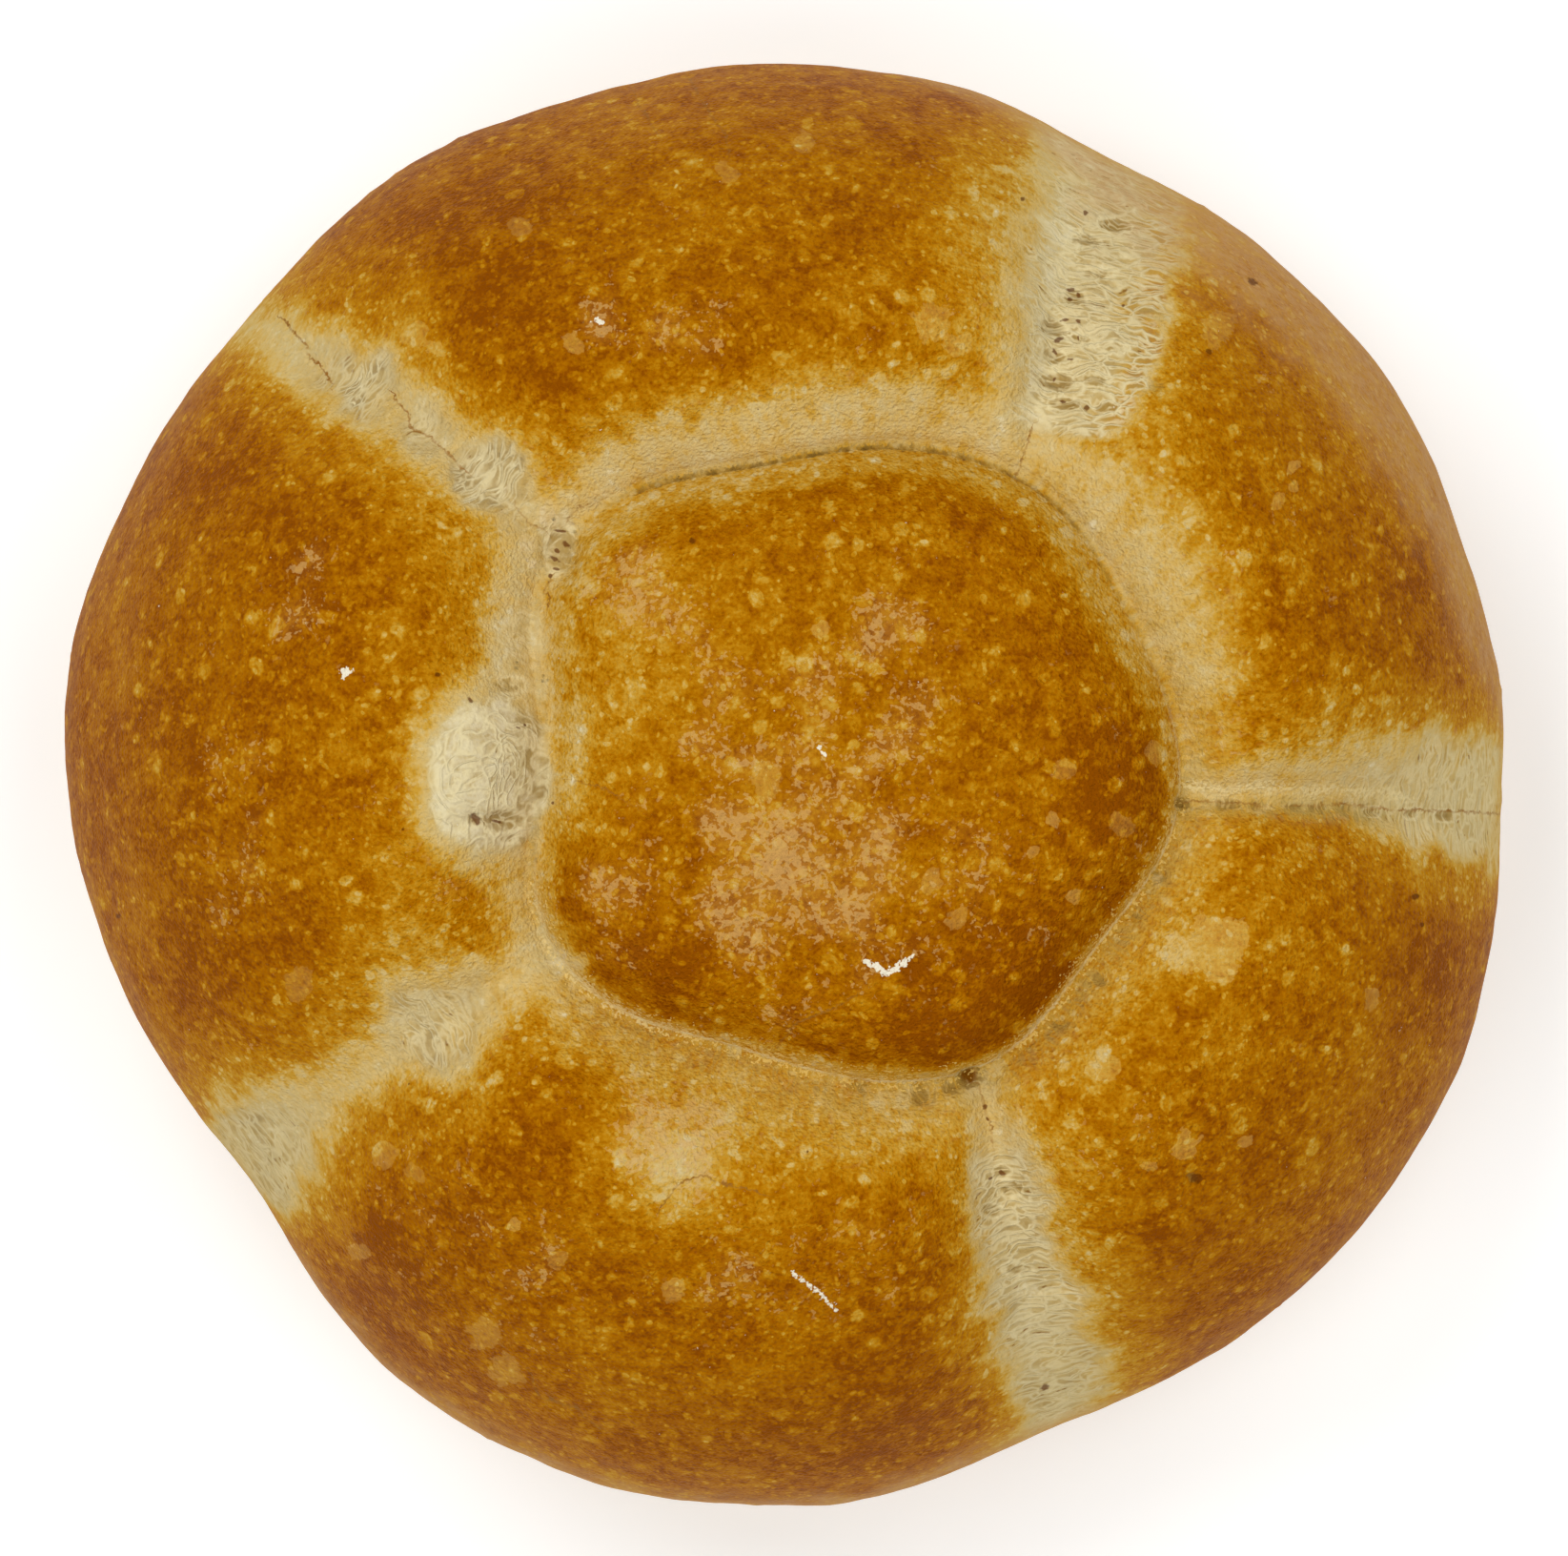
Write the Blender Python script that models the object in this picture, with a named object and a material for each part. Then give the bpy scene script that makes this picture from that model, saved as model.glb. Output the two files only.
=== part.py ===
"""A round stamped bread roll: a raised button, five puffed petals round it, and torn seams between them.

Metres, +Z up. The roll stands on its flat underside. The origin is on that underside, below the middle
of the roll's box. Azimuths are in degrees, anticlockwise from +X as seen from above.
"""

import math
from collections import namedtuple

import bmesh
import bpy
import numpy as np
from mathutils import Vector, noise

MM = 0.001

# The whole roll.
ROLL_RADIUS = 55.0 * MM
ROLL_HEIGHT = 50.0 * MM
GIRTH_HEIGHT = 17.0 * MM  # where the roll is widest
BASE_INSET = 14.0 * MM  # the flat underside ends this far inside the girth
CROWN_FULLNESS = 3.1  # exponent of the crown's profile: 2 is an ellipse, more is a flatter top
UNEVENNESS = 0.8 * MM  # slow lumps of hand-shaped dough
LUMP_LENGTH = 19.0 * MM

# The button that the stamp's ring cuts out of the middle.
BUTTON_MIDDLE = Vector((5.7, 1.7)) * MM
CREASE_DEPTH = 6.2 * MM
BUTTON_SLOPE = 3.8 * MM  # width over which the button falls into the crease round it
PETAL_SLOPE = 6.0 * MM  # the same for the petals' inner slopes

# One seam between two petals. It starts at a corner of the button's edge and ends at the rim.
# corner_azimuth and corner_reach are seen from the button's middle, rim_azimuth from the roll's.
# bow moves the middle of the seam sideways, clockwise if positive. depth_in and depth_rim are its
# depths at its two ends. anticlockwise and clockwise are the widths of its two slopes. floor is the
# width of the torn floor at the rim. dent draws the rim in, over dent_span degrees each way.
Seam = namedtuple(
    "Seam",
    "corner_azimuth corner_reach rim_azimuth bow depth_in depth_rim anticlockwise clockwise floor dent dent_span",
)
SEAMS = (
    Seam(61.0, 24.9 * MM, 64.0, 0.0 * MM, 4.6 * MM, 5.4 * MM, 3.6 * MM, 8.4 * MM, 2.0 * MM, 0.2 * MM, 13.0),
    Seam(144.5, 28.2 * MM, 139.5, 1.7 * MM, 4.0 * MM, 2.6 * MM, 5.2 * MM, 5.2 * MM, 0.6 * MM, 0.1 * MM, 12.0),
    Seam(210.5, 27.2 * MM, 214.5, 0.0 * MM, 4.2 * MM, 3.4 * MM, 6.4 * MM, 6.4 * MM, 2.6 * MM, 4.0 * MM, 21.0),
    Seam(291.0, 24.5 * MM, 293.0, 0.0 * MM, 5.8 * MM, 4.4 * MM, 4.6 * MM, 5.0 * MM, 2.6 * MM, 2.2 * MM, 18.0),
    Seam(355.0, 24.2 * MM, 358.3, 0.0 * MM, 5.6 * MM, 5.0 * MM, 4.8 * MM, 4.8 * MM, 0.4 * MM, 0.1 * MM, 10.0),
)
# The button's edge half way between each seam and the next, seen from its middle.
BUTTON_FLATS = (23.9 * MM, 23.9 * MM, 23.2 * MM, 22.5 * MM, 23.3 * MM)
PETAL_PUFF = 2.2 * MM  # how far the petals puff up above the common crown
PUFF_WIDTH = 11.0 * MM  # distance from the creases at which they reach it
SIDE_SEAM_SHARE = 0.07  # how much of a seam's depth is left at the girth

# The burst at the button's left, where torn crumb fills the crease.
BURST_MIDDLE = Vector((-22.2, 1.4)) * MM
BURST_RADIUS = 5.6 * MM
BURST_FILL = 1.8 * MM

# The mesh is a cube, rounded out: its top becomes the button, its sides the petals and the round of
# the underside, and its bottom the flat.
FACES_PER_EDGE = 33
PETAL_ROWS = 0.74  # share of the sides' rows that lie above the girth
ROW_CROWDING = 1.15  # above 1, the petals' rows crowd towards the crease
SEAM_STEPS = 16  # straight steps that a seam's curve is measured by


def clear_scene():
    for leftover in list(bpy.data.objects):
        bpy.data.objects.remove(leftover, do_unlink=True)


def smooth_step(low, high, value):
    share = min(1.0, max(0.0, (value - low) / (high - low)))
    return share * share * (3.0 - 2.0 * share)


def turn_between(azimuth, other):
    """Degrees from one azimuth to another by the shorter way round, never negative."""
    return abs((azimuth - other + 180.0) % 360.0 - 180.0)


def azimuth_of(offset):
    return math.degrees(math.atan2(offset.y, offset.x)) % 360.0


def along(azimuth, reach):
    return Vector((math.cos(math.radians(azimuth)), math.sin(math.radians(azimuth)))) * reach


def rim_radius(azimuth):
    """The roll's outline from above: a circle that each seam draws in a little."""
    drawn_in = sum(
        seam.dent * math.exp(-((turn_between(azimuth, seam.rim_azimuth) / seam.dent_span) ** 2))
        for seam in SEAMS
    )
    return ROLL_RADIUS - drawn_in


def petal_at(azimuth, seam_azimuths):
    """Which petal an azimuth is in, and how far across it, from 0 at one seam to 1 at the next."""
    for index, start in enumerate(seam_azimuths):
        width = (seam_azimuths[(index + 1) % len(seam_azimuths)] - start) % 360.0
        across = (azimuth - start) % 360.0
        if across < width:
            return index, across / width
    return 0, 0.0


def button_edge(azimuth):
    """The button's edge, seen from its middle: corners at the seams, flatter sides at the petals."""
    index, across = petal_at(azimuth, [seam.corner_azimuth for seam in SEAMS])
    corner = SEAMS[index] if across < 0.5 else SEAMS[(index + 1) % len(SEAMS)]
    flatness = 0.5 - 0.5 * math.cos(2.0 * math.pi * across)
    return corner.corner_reach + (BUTTON_FLATS[index] - corner.corner_reach) * flatness


def seam_ends(seam):
    corner = BUTTON_MIDDLE + along(seam.corner_azimuth, seam.corner_reach)
    return corner, along(seam.rim_azimuth, rim_radius(seam.rim_azimuth))


def bowed(start, end, bow, share):
    """A point on the way from start to end, moved sideways by up to bow half way."""
    run = (end - start).normalized()
    return start.lerp(end, share) + Vector((run.y, -run.x)) * bow * 4.0 * share * (1.0 - share)


def seam_path(seam):
    start, end = seam_ends(seam)
    return [bowed(start, end, seam.bow, step / SEAM_STEPS) for step in range(SEAM_STEPS + 1)]


def nearest_on_path(path, place):
    """Distance to a path, the share of its length at that spot, and whether the place lies clockwise of it."""
    best = (math.inf, 0.0, False)
    for step, (first, second) in enumerate(zip(path, path[1:])):
        run = second - first
        share = min(1.0, max(0.0, (place - first).dot(run) / run.length_squared))
        offset = place - (first + run * share)
        if offset.length < best[0]:
            best = (offset.length, (step + share) / SEAM_STEPS, run.cross(offset) < 0)
    return best


def seam_cut(seam, path, place):
    """Distance to a seam and how deep it cuts there: a torn floor with a puffed slope on each side."""
    distance, share, clockwise = nearest_on_path(path, place)
    slope = seam.clockwise if clockwise else seam.anticlockwise
    slope *= 0.6 + 0.4 * share  # seams open out towards the rim
    depth = seam.depth_in + (seam.depth_rim - seam.depth_in) * share
    past_floor = max(0.0, distance - seam.floor * share / 2)
    return distance, depth * math.exp(-past_floor / slope)


def crease_depth(past_edge):
    """Depth of the crease round the button, by the distance past the button's edge."""
    slope = BUTTON_SLOPE if past_edge < 0 else PETAL_SLOPE
    return CREASE_DEPTH * math.exp(-abs(past_edge) / slope)


def carved_depth(place, paths):
    """How far the roll's skin lies below its smooth crown at a place, seen from above."""
    from_button = place - BUTTON_MIDDLE
    past_edge = from_button.length - button_edge(azimuth_of(from_button))
    outside = smooth_step(-1.0 * MM, 1.5 * MM, past_edge)
    seam_cuts = [seam_cut(seam, path, place) for seam, path in zip(SEAMS, paths)]
    cuts = [depth * outside for _, depth in seam_cuts] + [crease_depth(past_edge)]
    carved = sum(cut**3 for cut in cuts) ** (1 / 3)  # cuts that cross don't add up to a hole
    from_seam = min(distance for distance, _ in seam_cuts)
    puff = smooth_step(0.0, PUFF_WIDTH, past_edge) * smooth_step(0.0, PUFF_WIDTH, from_seam)
    from_burst = (place - BURST_MIDDLE).length / BURST_RADIUS
    return carved - PETAL_PUFF * puff - BURST_FILL * math.exp(-(from_burst**2))


def crown_lengths():
    """Shares of the crown profile's length from the middle to the girth, and the radius (0 to 1) at each."""
    turn = np.linspace(0.0, math.pi / 2, 400)
    radius = np.sin(turn) ** (2 / CROWN_FULLNESS)
    rise = np.cos(turn) * (ROLL_HEIGHT - GIRTH_HEIGHT)
    travelled = np.concatenate([[0.0], np.cumsum(np.hypot(np.diff(radius) * ROLL_RADIUS, np.diff(rise)))])
    return travelled / travelled[-1], radius


def crown_skin(place, paths):
    """The skin above a place on the crown, sunk from the smooth crown by what is carved there."""
    rim = rim_radius(azimuth_of(place))
    reach = min(1.0, place.length / rim)
    height = math.sqrt(max(0.0, 1.0 - reach**CROWN_FULLNESS))
    crown = ROLL_HEIGHT - GIRTH_HEIGHT
    steepness = Vector((CROWN_FULLNESS * reach ** (CROWN_FULLNESS - 1.0) / rim, 2.0 * height / crown))
    steepness.normalize()
    side = place.normalized() * steepness.x * smooth_step(0.7, 1.0, reach)  # the stamp cuts straight down
    kept = 1.0 - (1.0 - SIDE_SEAM_SHARE) * smooth_step(0.80, 1.0, reach)
    return sunk(place, GIRTH_HEIGHT + crown * height, Vector((side.x, side.y, steepness.y)), kept, paths)


def underside_skin(rim_place, down, paths):
    """The skin on the round of the underside, from 0 at the girth to 1 at the edge of the flat."""
    turn = math.pi / 2 * (1.0 - down)
    place = rim_place.normalized() * (rim_place.length - BASE_INSET * (1.0 - math.sin(turn)))
    steepness = Vector((math.sin(turn) / BASE_INSET, -math.cos(turn) / GIRTH_HEIGHT)).normalized()
    side = place.normalized() * steepness.x
    kept = SIDE_SEAM_SHARE * (1.0 - smooth_step(0.0, 0.8, down))
    height = GIRTH_HEIGHT * (1.0 - math.cos(turn))
    return sunk(place, height, Vector((side.x, side.y, steepness.y)), kept, paths)


def sunk(place, height, outward, kept, paths):
    """A point moved in by the carved depth there, of which only the kept share is left, and by slow lumps."""
    point = Vector((place.x, place.y, height))
    lump = noise.noise(point / LUMP_LENGTH) * UNEVENNESS * smooth_step(0.0, GIRTH_HEIGHT, height)
    return point - outward * (carved_depth(place, paths) * kept - lump)


def columns_of_seams():
    """The cube's column nearest to each seam, as an azimuth."""
    step = 90.0 / FACES_PER_EDGE
    offset = 45.0  # the cube's first corner
    middles = [(seam.corner_azimuth + seam.rim_azimuth) / 2 for seam in SEAMS]
    return [offset + step * round((middle - offset) / step) for middle in middles]


def column_ends(azimuth, columns):
    """Where a column of the cube's sides starts at the button's edge and ends at the rim, and its bow."""
    index, across = petal_at(azimuth, columns)
    first, second = SEAMS[index], SEAMS[(index + 1) % len(SEAMS)]
    corner_turn = (second.corner_azimuth - first.corner_azimuth) % 360.0
    rim_turn = (second.rim_azimuth - first.rim_azimuth) % 360.0
    at_button = (first.corner_azimuth + corner_turn * across) % 360.0
    at_rim = (first.rim_azimuth + rim_turn * across) % 360.0
    start = BUTTON_MIDDLE + along(at_button, button_edge(at_button))
    end = along(at_rim, rim_radius(at_rim))
    return start, end, first.bow * (1.0 - across) + second.bow * across


def cube_chart(corner):
    """A vertex of the cube (from -1 to 1) as the azimuth of its column and how far it lies from the middle
    of the top: 0 to 1 on the top, 1 to 2 down the sides, 2 to 3 in to the middle of the bottom."""
    x, y = corner.x, corner.y
    reach = max(abs(x), abs(y))
    if reach < 1e-6:
        return 0.0, 0.0 if corner.z > 0 else 3.0
    if abs(x) >= abs(y):
        azimuth = 45.0 * y / x + (0.0 if x > 0 else 180.0)
    else:
        azimuth = 90.0 - 45.0 * x / y + (0.0 if y > 0 else 180.0)
    if reach < 1.0 - 1e-6:
        return azimuth % 360.0, reach if corner.z > 0 else 3.0 - reach
    return azimuth % 360.0, 1.0 + (1.0 - corner.z) / 2.0


def place_on_roll(corner, columns, paths, lengths):
    """The spot on the roll's skin that a vertex of the cube is rounded out to."""
    azimuth, outward = cube_chart(corner)
    start, end, bow = column_ends(azimuth, columns)
    if outward <= 1.0:
        return crown_skin(BUTTON_MIDDLE.lerp(start, outward), paths)
    if outward <= 1.0 + PETAL_ROWS:
        travelled, radii = lengths
        first = start.length / rim_radius(azimuth_of(start))
        row = ((outward - 1.0) / PETAL_ROWS) ** ROW_CROWDING
        begun = np.interp(first, radii, travelled)
        reach = float(np.interp(begun + (1.0 - begun) * row, travelled, radii))
        return crown_skin(bowed(start, end, bow, (reach - first) / (1.0 - first)), paths)
    if outward <= 2.0:
        return underside_skin(end, (outward - 1.0 - PETAL_ROWS) / (1.0 - PETAL_ROWS), paths)
    flat = end.normalized() * (end.length - BASE_INSET) * (3.0 - outward)
    return Vector((flat.x, flat.y, 0.0))


def shape_roll(mesh):
    """Rounds a subdivided cube out to the roll's skin."""
    body = bmesh.new()
    bmesh.ops.create_cube(body, size=2.0)
    bmesh.ops.subdivide_edges(body, edges=body.edges[:], cuts=FACES_PER_EDGE - 1, use_grid_fill=True)
    columns = columns_of_seams()
    paths = [seam_path(seam) for seam in SEAMS]
    lengths = crown_lengths()
    for corner in body.verts:
        corner.co = place_on_roll(corner.co, columns, paths, lengths)
    low = Vector([min(corner.co[axis] for corner in body.verts) for axis in range(3)])
    high = Vector([max(corner.co[axis] for corner in body.verts) for axis in range(3)])
    middle = (low + high) / 2
    bmesh.ops.translate(body, verts=body.verts[:], vec=(-middle.x, -middle.y, 0.0))
    bmesh.ops.recalc_face_normals(body, faces=body.faces[:])
    body.to_mesh(mesh)
    body.free()


def crust_material():
    """Golden-brown crust, dull with a faint shine."""
    material = bpy.data.materials.new("crust")
    material.use_nodes = True
    shader = material.node_tree.nodes["Principled BSDF"]
    shader.inputs["Base Color"].default_value = (0.40, 0.17, 0.028, 1.0)
    shader.inputs["Roughness"].default_value = 0.55
    shader.inputs["Metallic"].default_value = 0.0
    return material


def add_roll():
    mesh = bpy.data.meshes.new("bread_roll")
    shape_roll(mesh)
    mesh.materials.append(crust_material())
    mesh.shade_smooth()
    roll = bpy.data.objects.new("bread_roll", mesh)
    bpy.context.scene.collection.objects.link(roll)
    return roll


clear_scene()
add_roll()
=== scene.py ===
"""A round stamped bread roll on a pale table, seen from straight above."""

import math
from collections import namedtuple

import bpy
import numpy as np
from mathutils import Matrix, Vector, kdtree, noise


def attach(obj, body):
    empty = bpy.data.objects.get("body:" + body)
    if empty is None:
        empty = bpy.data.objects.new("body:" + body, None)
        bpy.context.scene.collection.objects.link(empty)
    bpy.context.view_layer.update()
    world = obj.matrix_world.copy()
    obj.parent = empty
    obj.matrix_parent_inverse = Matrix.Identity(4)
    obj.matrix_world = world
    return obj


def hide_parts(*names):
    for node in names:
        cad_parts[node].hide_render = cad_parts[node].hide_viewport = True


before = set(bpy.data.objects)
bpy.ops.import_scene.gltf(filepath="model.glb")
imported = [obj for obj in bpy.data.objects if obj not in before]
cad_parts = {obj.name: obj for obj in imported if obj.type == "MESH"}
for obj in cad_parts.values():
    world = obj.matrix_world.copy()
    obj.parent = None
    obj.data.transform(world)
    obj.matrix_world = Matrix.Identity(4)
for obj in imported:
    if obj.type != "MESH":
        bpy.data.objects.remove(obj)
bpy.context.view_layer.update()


# -----------------------------------------------------------------------------
# The camera. It hangs straight above the roll with a very long lens, so that the picture has hardly any
# perspective. The roll sits a little low in the picture.

MM = 0.001
PICTURE_WIDTH = 119.6 * MM  # what the picture takes in at the height of the roll's girth
GIRTH_HEIGHT = 17.0 * MM
ROLL_LOW_IN_PICTURE = 0.5 * MM
LENS = 1000.0
SENSOR = 36.0

bpy.ops.object.camera_add(location=(0.0, ROLL_LOW_IN_PICTURE, GIRTH_HEIGHT + PICTURE_WIDTH * LENS / SENSOR))
camera = bpy.context.active_object
camera.data.lens = LENS
camera.data.sensor_width = SENSOR
bpy.context.scene.camera = camera
bpy.context.scene.view_settings.view_transform = "Standard"


# -----------------------------------------------------------------------------
# The table and the light. The table is a plain white top. Four large soft lamps stand round it, the one
# at the upper left the strongest, and a pale room fills the shadows.

TABLE_SIZE = 12.0
TABLE_WHITE = (0.92, 0.93, 0.93, 1.0)
TABLE_ROUGHNESS = 0.9
TABLE_GLOW = 0.26
LAMP_DISTANCE = 1.6
LAMP_ELEVATION = math.radians(52.0)
LAMP_SIZE = 1.1
LAMP_POWERS = {45.0: 7.2, 135.0: 10.4, 225.0: 7.6, 315.0: 6.2}  # watts, by azimuth in degrees
ROOM_WHITE = (1.0, 1.0, 1.0, 1.0)
ROOM_STRENGTH = 0.21

bpy.ops.mesh.primitive_plane_add(size=TABLE_SIZE, location=(0.0, 0.0, 0.0))
table = bpy.context.active_object
table.name = "table"
table_top = bpy.data.materials.new("table_top")
table_top.use_nodes = True
table_shader = table_top.node_tree.nodes["Principled BSDF"]
table_shader.inputs["Base Color"].default_value = TABLE_WHITE
table_shader.inputs["Roughness"].default_value = TABLE_ROUGHNESS
table_shader.inputs["Emission Color"].default_value = TABLE_WHITE
table_shader.inputs["Emission Strength"].default_value = TABLE_GLOW
table.data.materials.append(table_top)

for azimuth, power in LAMP_POWERS.items():
    turn = math.radians(azimuth)
    outward = math.cos(LAMP_ELEVATION)
    way = Vector((math.cos(turn) * outward, math.sin(turn) * outward, math.sin(LAMP_ELEVATION)))
    bpy.ops.object.light_add(type="AREA", location=way * LAMP_DISTANCE)
    lamp = bpy.context.active_object
    lamp.rotation_euler = way.to_track_quat("Z", "Y").to_euler()
    lamp.data.shape = "DISK"
    lamp.data.size = LAMP_SIZE
    lamp.data.energy = power

room = bpy.data.worlds.new("room")
room.use_nodes = True
room.node_tree.nodes["Background"].inputs["Color"].default_value = ROOM_WHITE
room.node_tree.nodes["Background"].inputs["Strength"].default_value = ROOM_STRENGTH
bpy.context.scene.world = room


# -----------------------------------------------------------------------------
# The roll's body: one piece of baked dough. It starts as a copy of the solid roll, whose loose triangles
# are joined back into a net of squares. Its flat underside is filled anew, and the net is then refined.

WELD = 0.005 * MM
FLAT_HEIGHT = 0.001 * MM  # faces of the solid below this are its flat underside
UNDERSIDE_RINGS = (4.0 * MM, 12.0 * MM)  # insets that part the flat's middle from its edge
NET_REFINEMENTS = 2

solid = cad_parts["bread_roll"]
roll = bpy.data.objects.new("crust", solid.data.copy())
bpy.context.scene.collection.objects.link(roll)
bpy.ops.object.select_all(action="DESELECT")
bpy.context.view_layer.objects.active = roll
roll.select_set(True)

bpy.ops.object.mode_set(mode="EDIT")
bpy.ops.mesh.select_all(action="SELECT")
bpy.ops.mesh.customdata_custom_splitnormals_clear()
bpy.ops.mesh.remove_doubles(threshold=WELD)
bpy.ops.mesh.tris_convert_to_quads(face_threshold=math.pi, shape_threshold=math.pi)
bpy.ops.mesh.select_all(action="DESELECT")
bpy.ops.object.mode_set(mode="OBJECT")
for face in roll.data.polygons:
    face.select = all(roll.data.vertices[index].co.z < FLAT_HEIGHT for index in face.vertices)
bpy.ops.object.mode_set(mode="EDIT")
bpy.ops.mesh.select_mode(type="FACE")
bpy.ops.mesh.dissolve_faces()
for width in UNDERSIDE_RINGS:
    bpy.ops.mesh.inset(thickness=width)
bpy.ops.object.mode_set(mode="OBJECT")

refine = roll.modifiers.new("refine", "SUBSURF")
refine.levels = NET_REFINEMENTS
refine.render_levels = NET_REFINEMENTS
bpy.ops.object.modifier_apply(modifier=refine.name)
bpy.ops.object.shade_smooth()


# -----------------------------------------------------------------------------
# The stamp's cuts: the ring round the button and the five seams that run from its corners to the rim. Each
# spot of the crust gets its place beside them, which the relief and the colours below are laid out by.

# From here on, the crust's measures are in millimetres. Places on it are seen from above, from a middle
# that lies a little off the middle of the roll's box.
LAYOUT_MIDDLE = np.array((0.2, -0.3))
ROLL_HEIGHT = 50.0
BUTTON_MIDDLE = np.array((5.7, 1.7))
BUTTON_FLATS = (23.9, 23.9, 23.2, 22.5, 23.3)  # the button's edge half way between the seams
BUTTON_REACH = 24.0  # on average
SEAM_STEPS = 16
RUN_DOWN = 0.6  # how much the way down the sides adds to the way out along a seam
SEAMS_APART = 9.0  # keeps the noise of one seam off the next
EDGE_BLEND = (-0.3, 0.6)  # from the button's flank to the petals, past the button's edge
GIRTH_BLEND = (8.0, 18.0)  # from the sides to the upper crust, by height
SEAM_END_BLEND = (12.0, 27.0)  # from the sides to the open seams, by height

# corner_azimuth and corner_reach are seen from the button's middle, rim_azimuth and rim_reach from the
# roll's. bow moves the seam's middle clockwise.
Seam = namedtuple("Seam", "corner_azimuth corner_reach rim_azimuth rim_reach bow")
SEAMS = (
    Seam(61.0, 24.9, 64.0, 54.8, 0.0),
    Seam(144.5, 28.2, 139.5, 54.8, 1.7),
    Seam(210.5, 27.2, 214.5, 51.0, 0.0),
    Seam(291.0, 24.5, 293.0, 52.8, 0.0),
    Seam(355.0, 24.2, 358.3, 54.8, 0.0),
)


def eased(low, high, value):
    """The value's place between low and high, as a share that starts and ends softly."""
    share = np.clip((value - low) / (high - low), 0.0, 1.0)
    return share * share * (3.0 - 2.0 * share)


def along(azimuth, reach):
    return np.array((math.cos(math.radians(azimuth)), math.sin(math.radians(azimuth)))) * reach


def button_edge(azimuths):
    """The button's edge, seen from its middle: corners at the seams, flatter sides between them."""
    edge = np.zeros_like(azimuths)
    for index, first in enumerate(SEAMS):
        second = SEAMS[(index + 1) % len(SEAMS)]
        width = (second.corner_azimuth - first.corner_azimuth) % 360.0
        across = ((azimuths - first.corner_azimuth) % 360.0) / width
        corner = np.where(across < 0.5, first.corner_reach, second.corner_reach)
        flatness = 0.5 - 0.5 * np.cos(2.0 * np.pi * across)
        here = across < 1.0
        edge[here] = (corner + (BUTTON_FLATS[index] - corner) * flatness)[here]
    return edge


def beside_line(points, line):
    """For each point: its side of a line (clockwise of it is positive), its distance, and how far along."""
    best = np.full(len(points), np.inf)
    side = np.zeros(len(points))
    share = np.zeros(len(points))
    steps = len(line) - 1
    for step in range(steps):
        first, run = line[step], line[step + 1] - line[step]
        offset = points - first
        here = np.clip(offset @ run / (run @ run), 0.0, 1.0)
        gap = np.linalg.norm(offset - here[:, None] * run, axis=1)
        turn = offset[:, 0] * run[1] - offset[:, 1] * run[0]
        closer = gap < best
        best[closer] = gap[closer]
        side[closer] = (np.sign(turn) * gap)[closer]
        share[closer] = ((step + here) / steps)[closer]
    return side, best, share


def seam_line(seam):
    start = BUTTON_MIDDLE + along(seam.corner_azimuth, seam.corner_reach)
    end = along(seam.rim_azimuth, seam.rim_reach)
    run = (end - start) / np.linalg.norm(end - start)
    shares = np.linspace(0.0, 1.0, SEAM_STEPS + 1)[:, None]
    bowed = np.array((run[1], -run[0])) * seam.bow * 4.0 * shares * (1.0 - shares)
    return start + (end - start) * shares + bowed


def waves(*columns, seed=0.0):
    """Smooth noise from -1 to 1 with features about 1 long, for each row of three columns."""
    places = np.column_stack(columns) + seed
    return np.array([noise.noise(place) for place in places.tolist()])


crust = roll.data
spots = np.empty(len(crust.vertices) * 3)
crust.vertices.foreach_get("co", spots)
spots = spots.reshape(-1, 3) / MM
plan = spots[:, :2] - LAYOUT_MIDDLE
height = spots[:, 2]
down = ROLL_HEIGHT - height
from_button = plan - BUTTON_MIDDLE
button_turn = np.arctan2(from_button[:, 1], from_button[:, 0])
button_azimuth = np.degrees(button_turn) % 360.0
roll_azimuth = np.degrees(np.arctan2(plan[:, 1], plan[:, 0])) % 360.0
past_edge = np.linalg.norm(from_button, axis=1) - button_edge(button_azimuth)
outside = eased(*EDGE_BLEND, past_edge)
upper = eased(*GIRTH_BLEND, height)  # 0 on the underside, 1 above the girth
lines = [seam_line(seam) for seam in SEAMS]
beside = [beside_line(plan, line) for line in lines]
seam_reaches = [np.linalg.norm(line[-1] - line[0]) for line in lines]

ragged = waves(spots / 2.4, seed=3.0) + 0.55 * waves(spots / 0.95, seed=5.0)
ring_x, ring_y = np.cos(button_turn) * BUTTON_REACH, np.sin(button_turn) * BUTTON_REACH
ring_fingers = waves(ring_x / 1.3, ring_y / 1.3, past_edge / 9.0, seed=7.0)


# -----------------------------------------------------------------------------
# Where the dough tore. As the roll rose in the oven, each seam pulled open and bared stretched, pale crumb.
# The button's crease stayed pale too, and at its left a burst pushed a swirl of crumb out.

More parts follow.
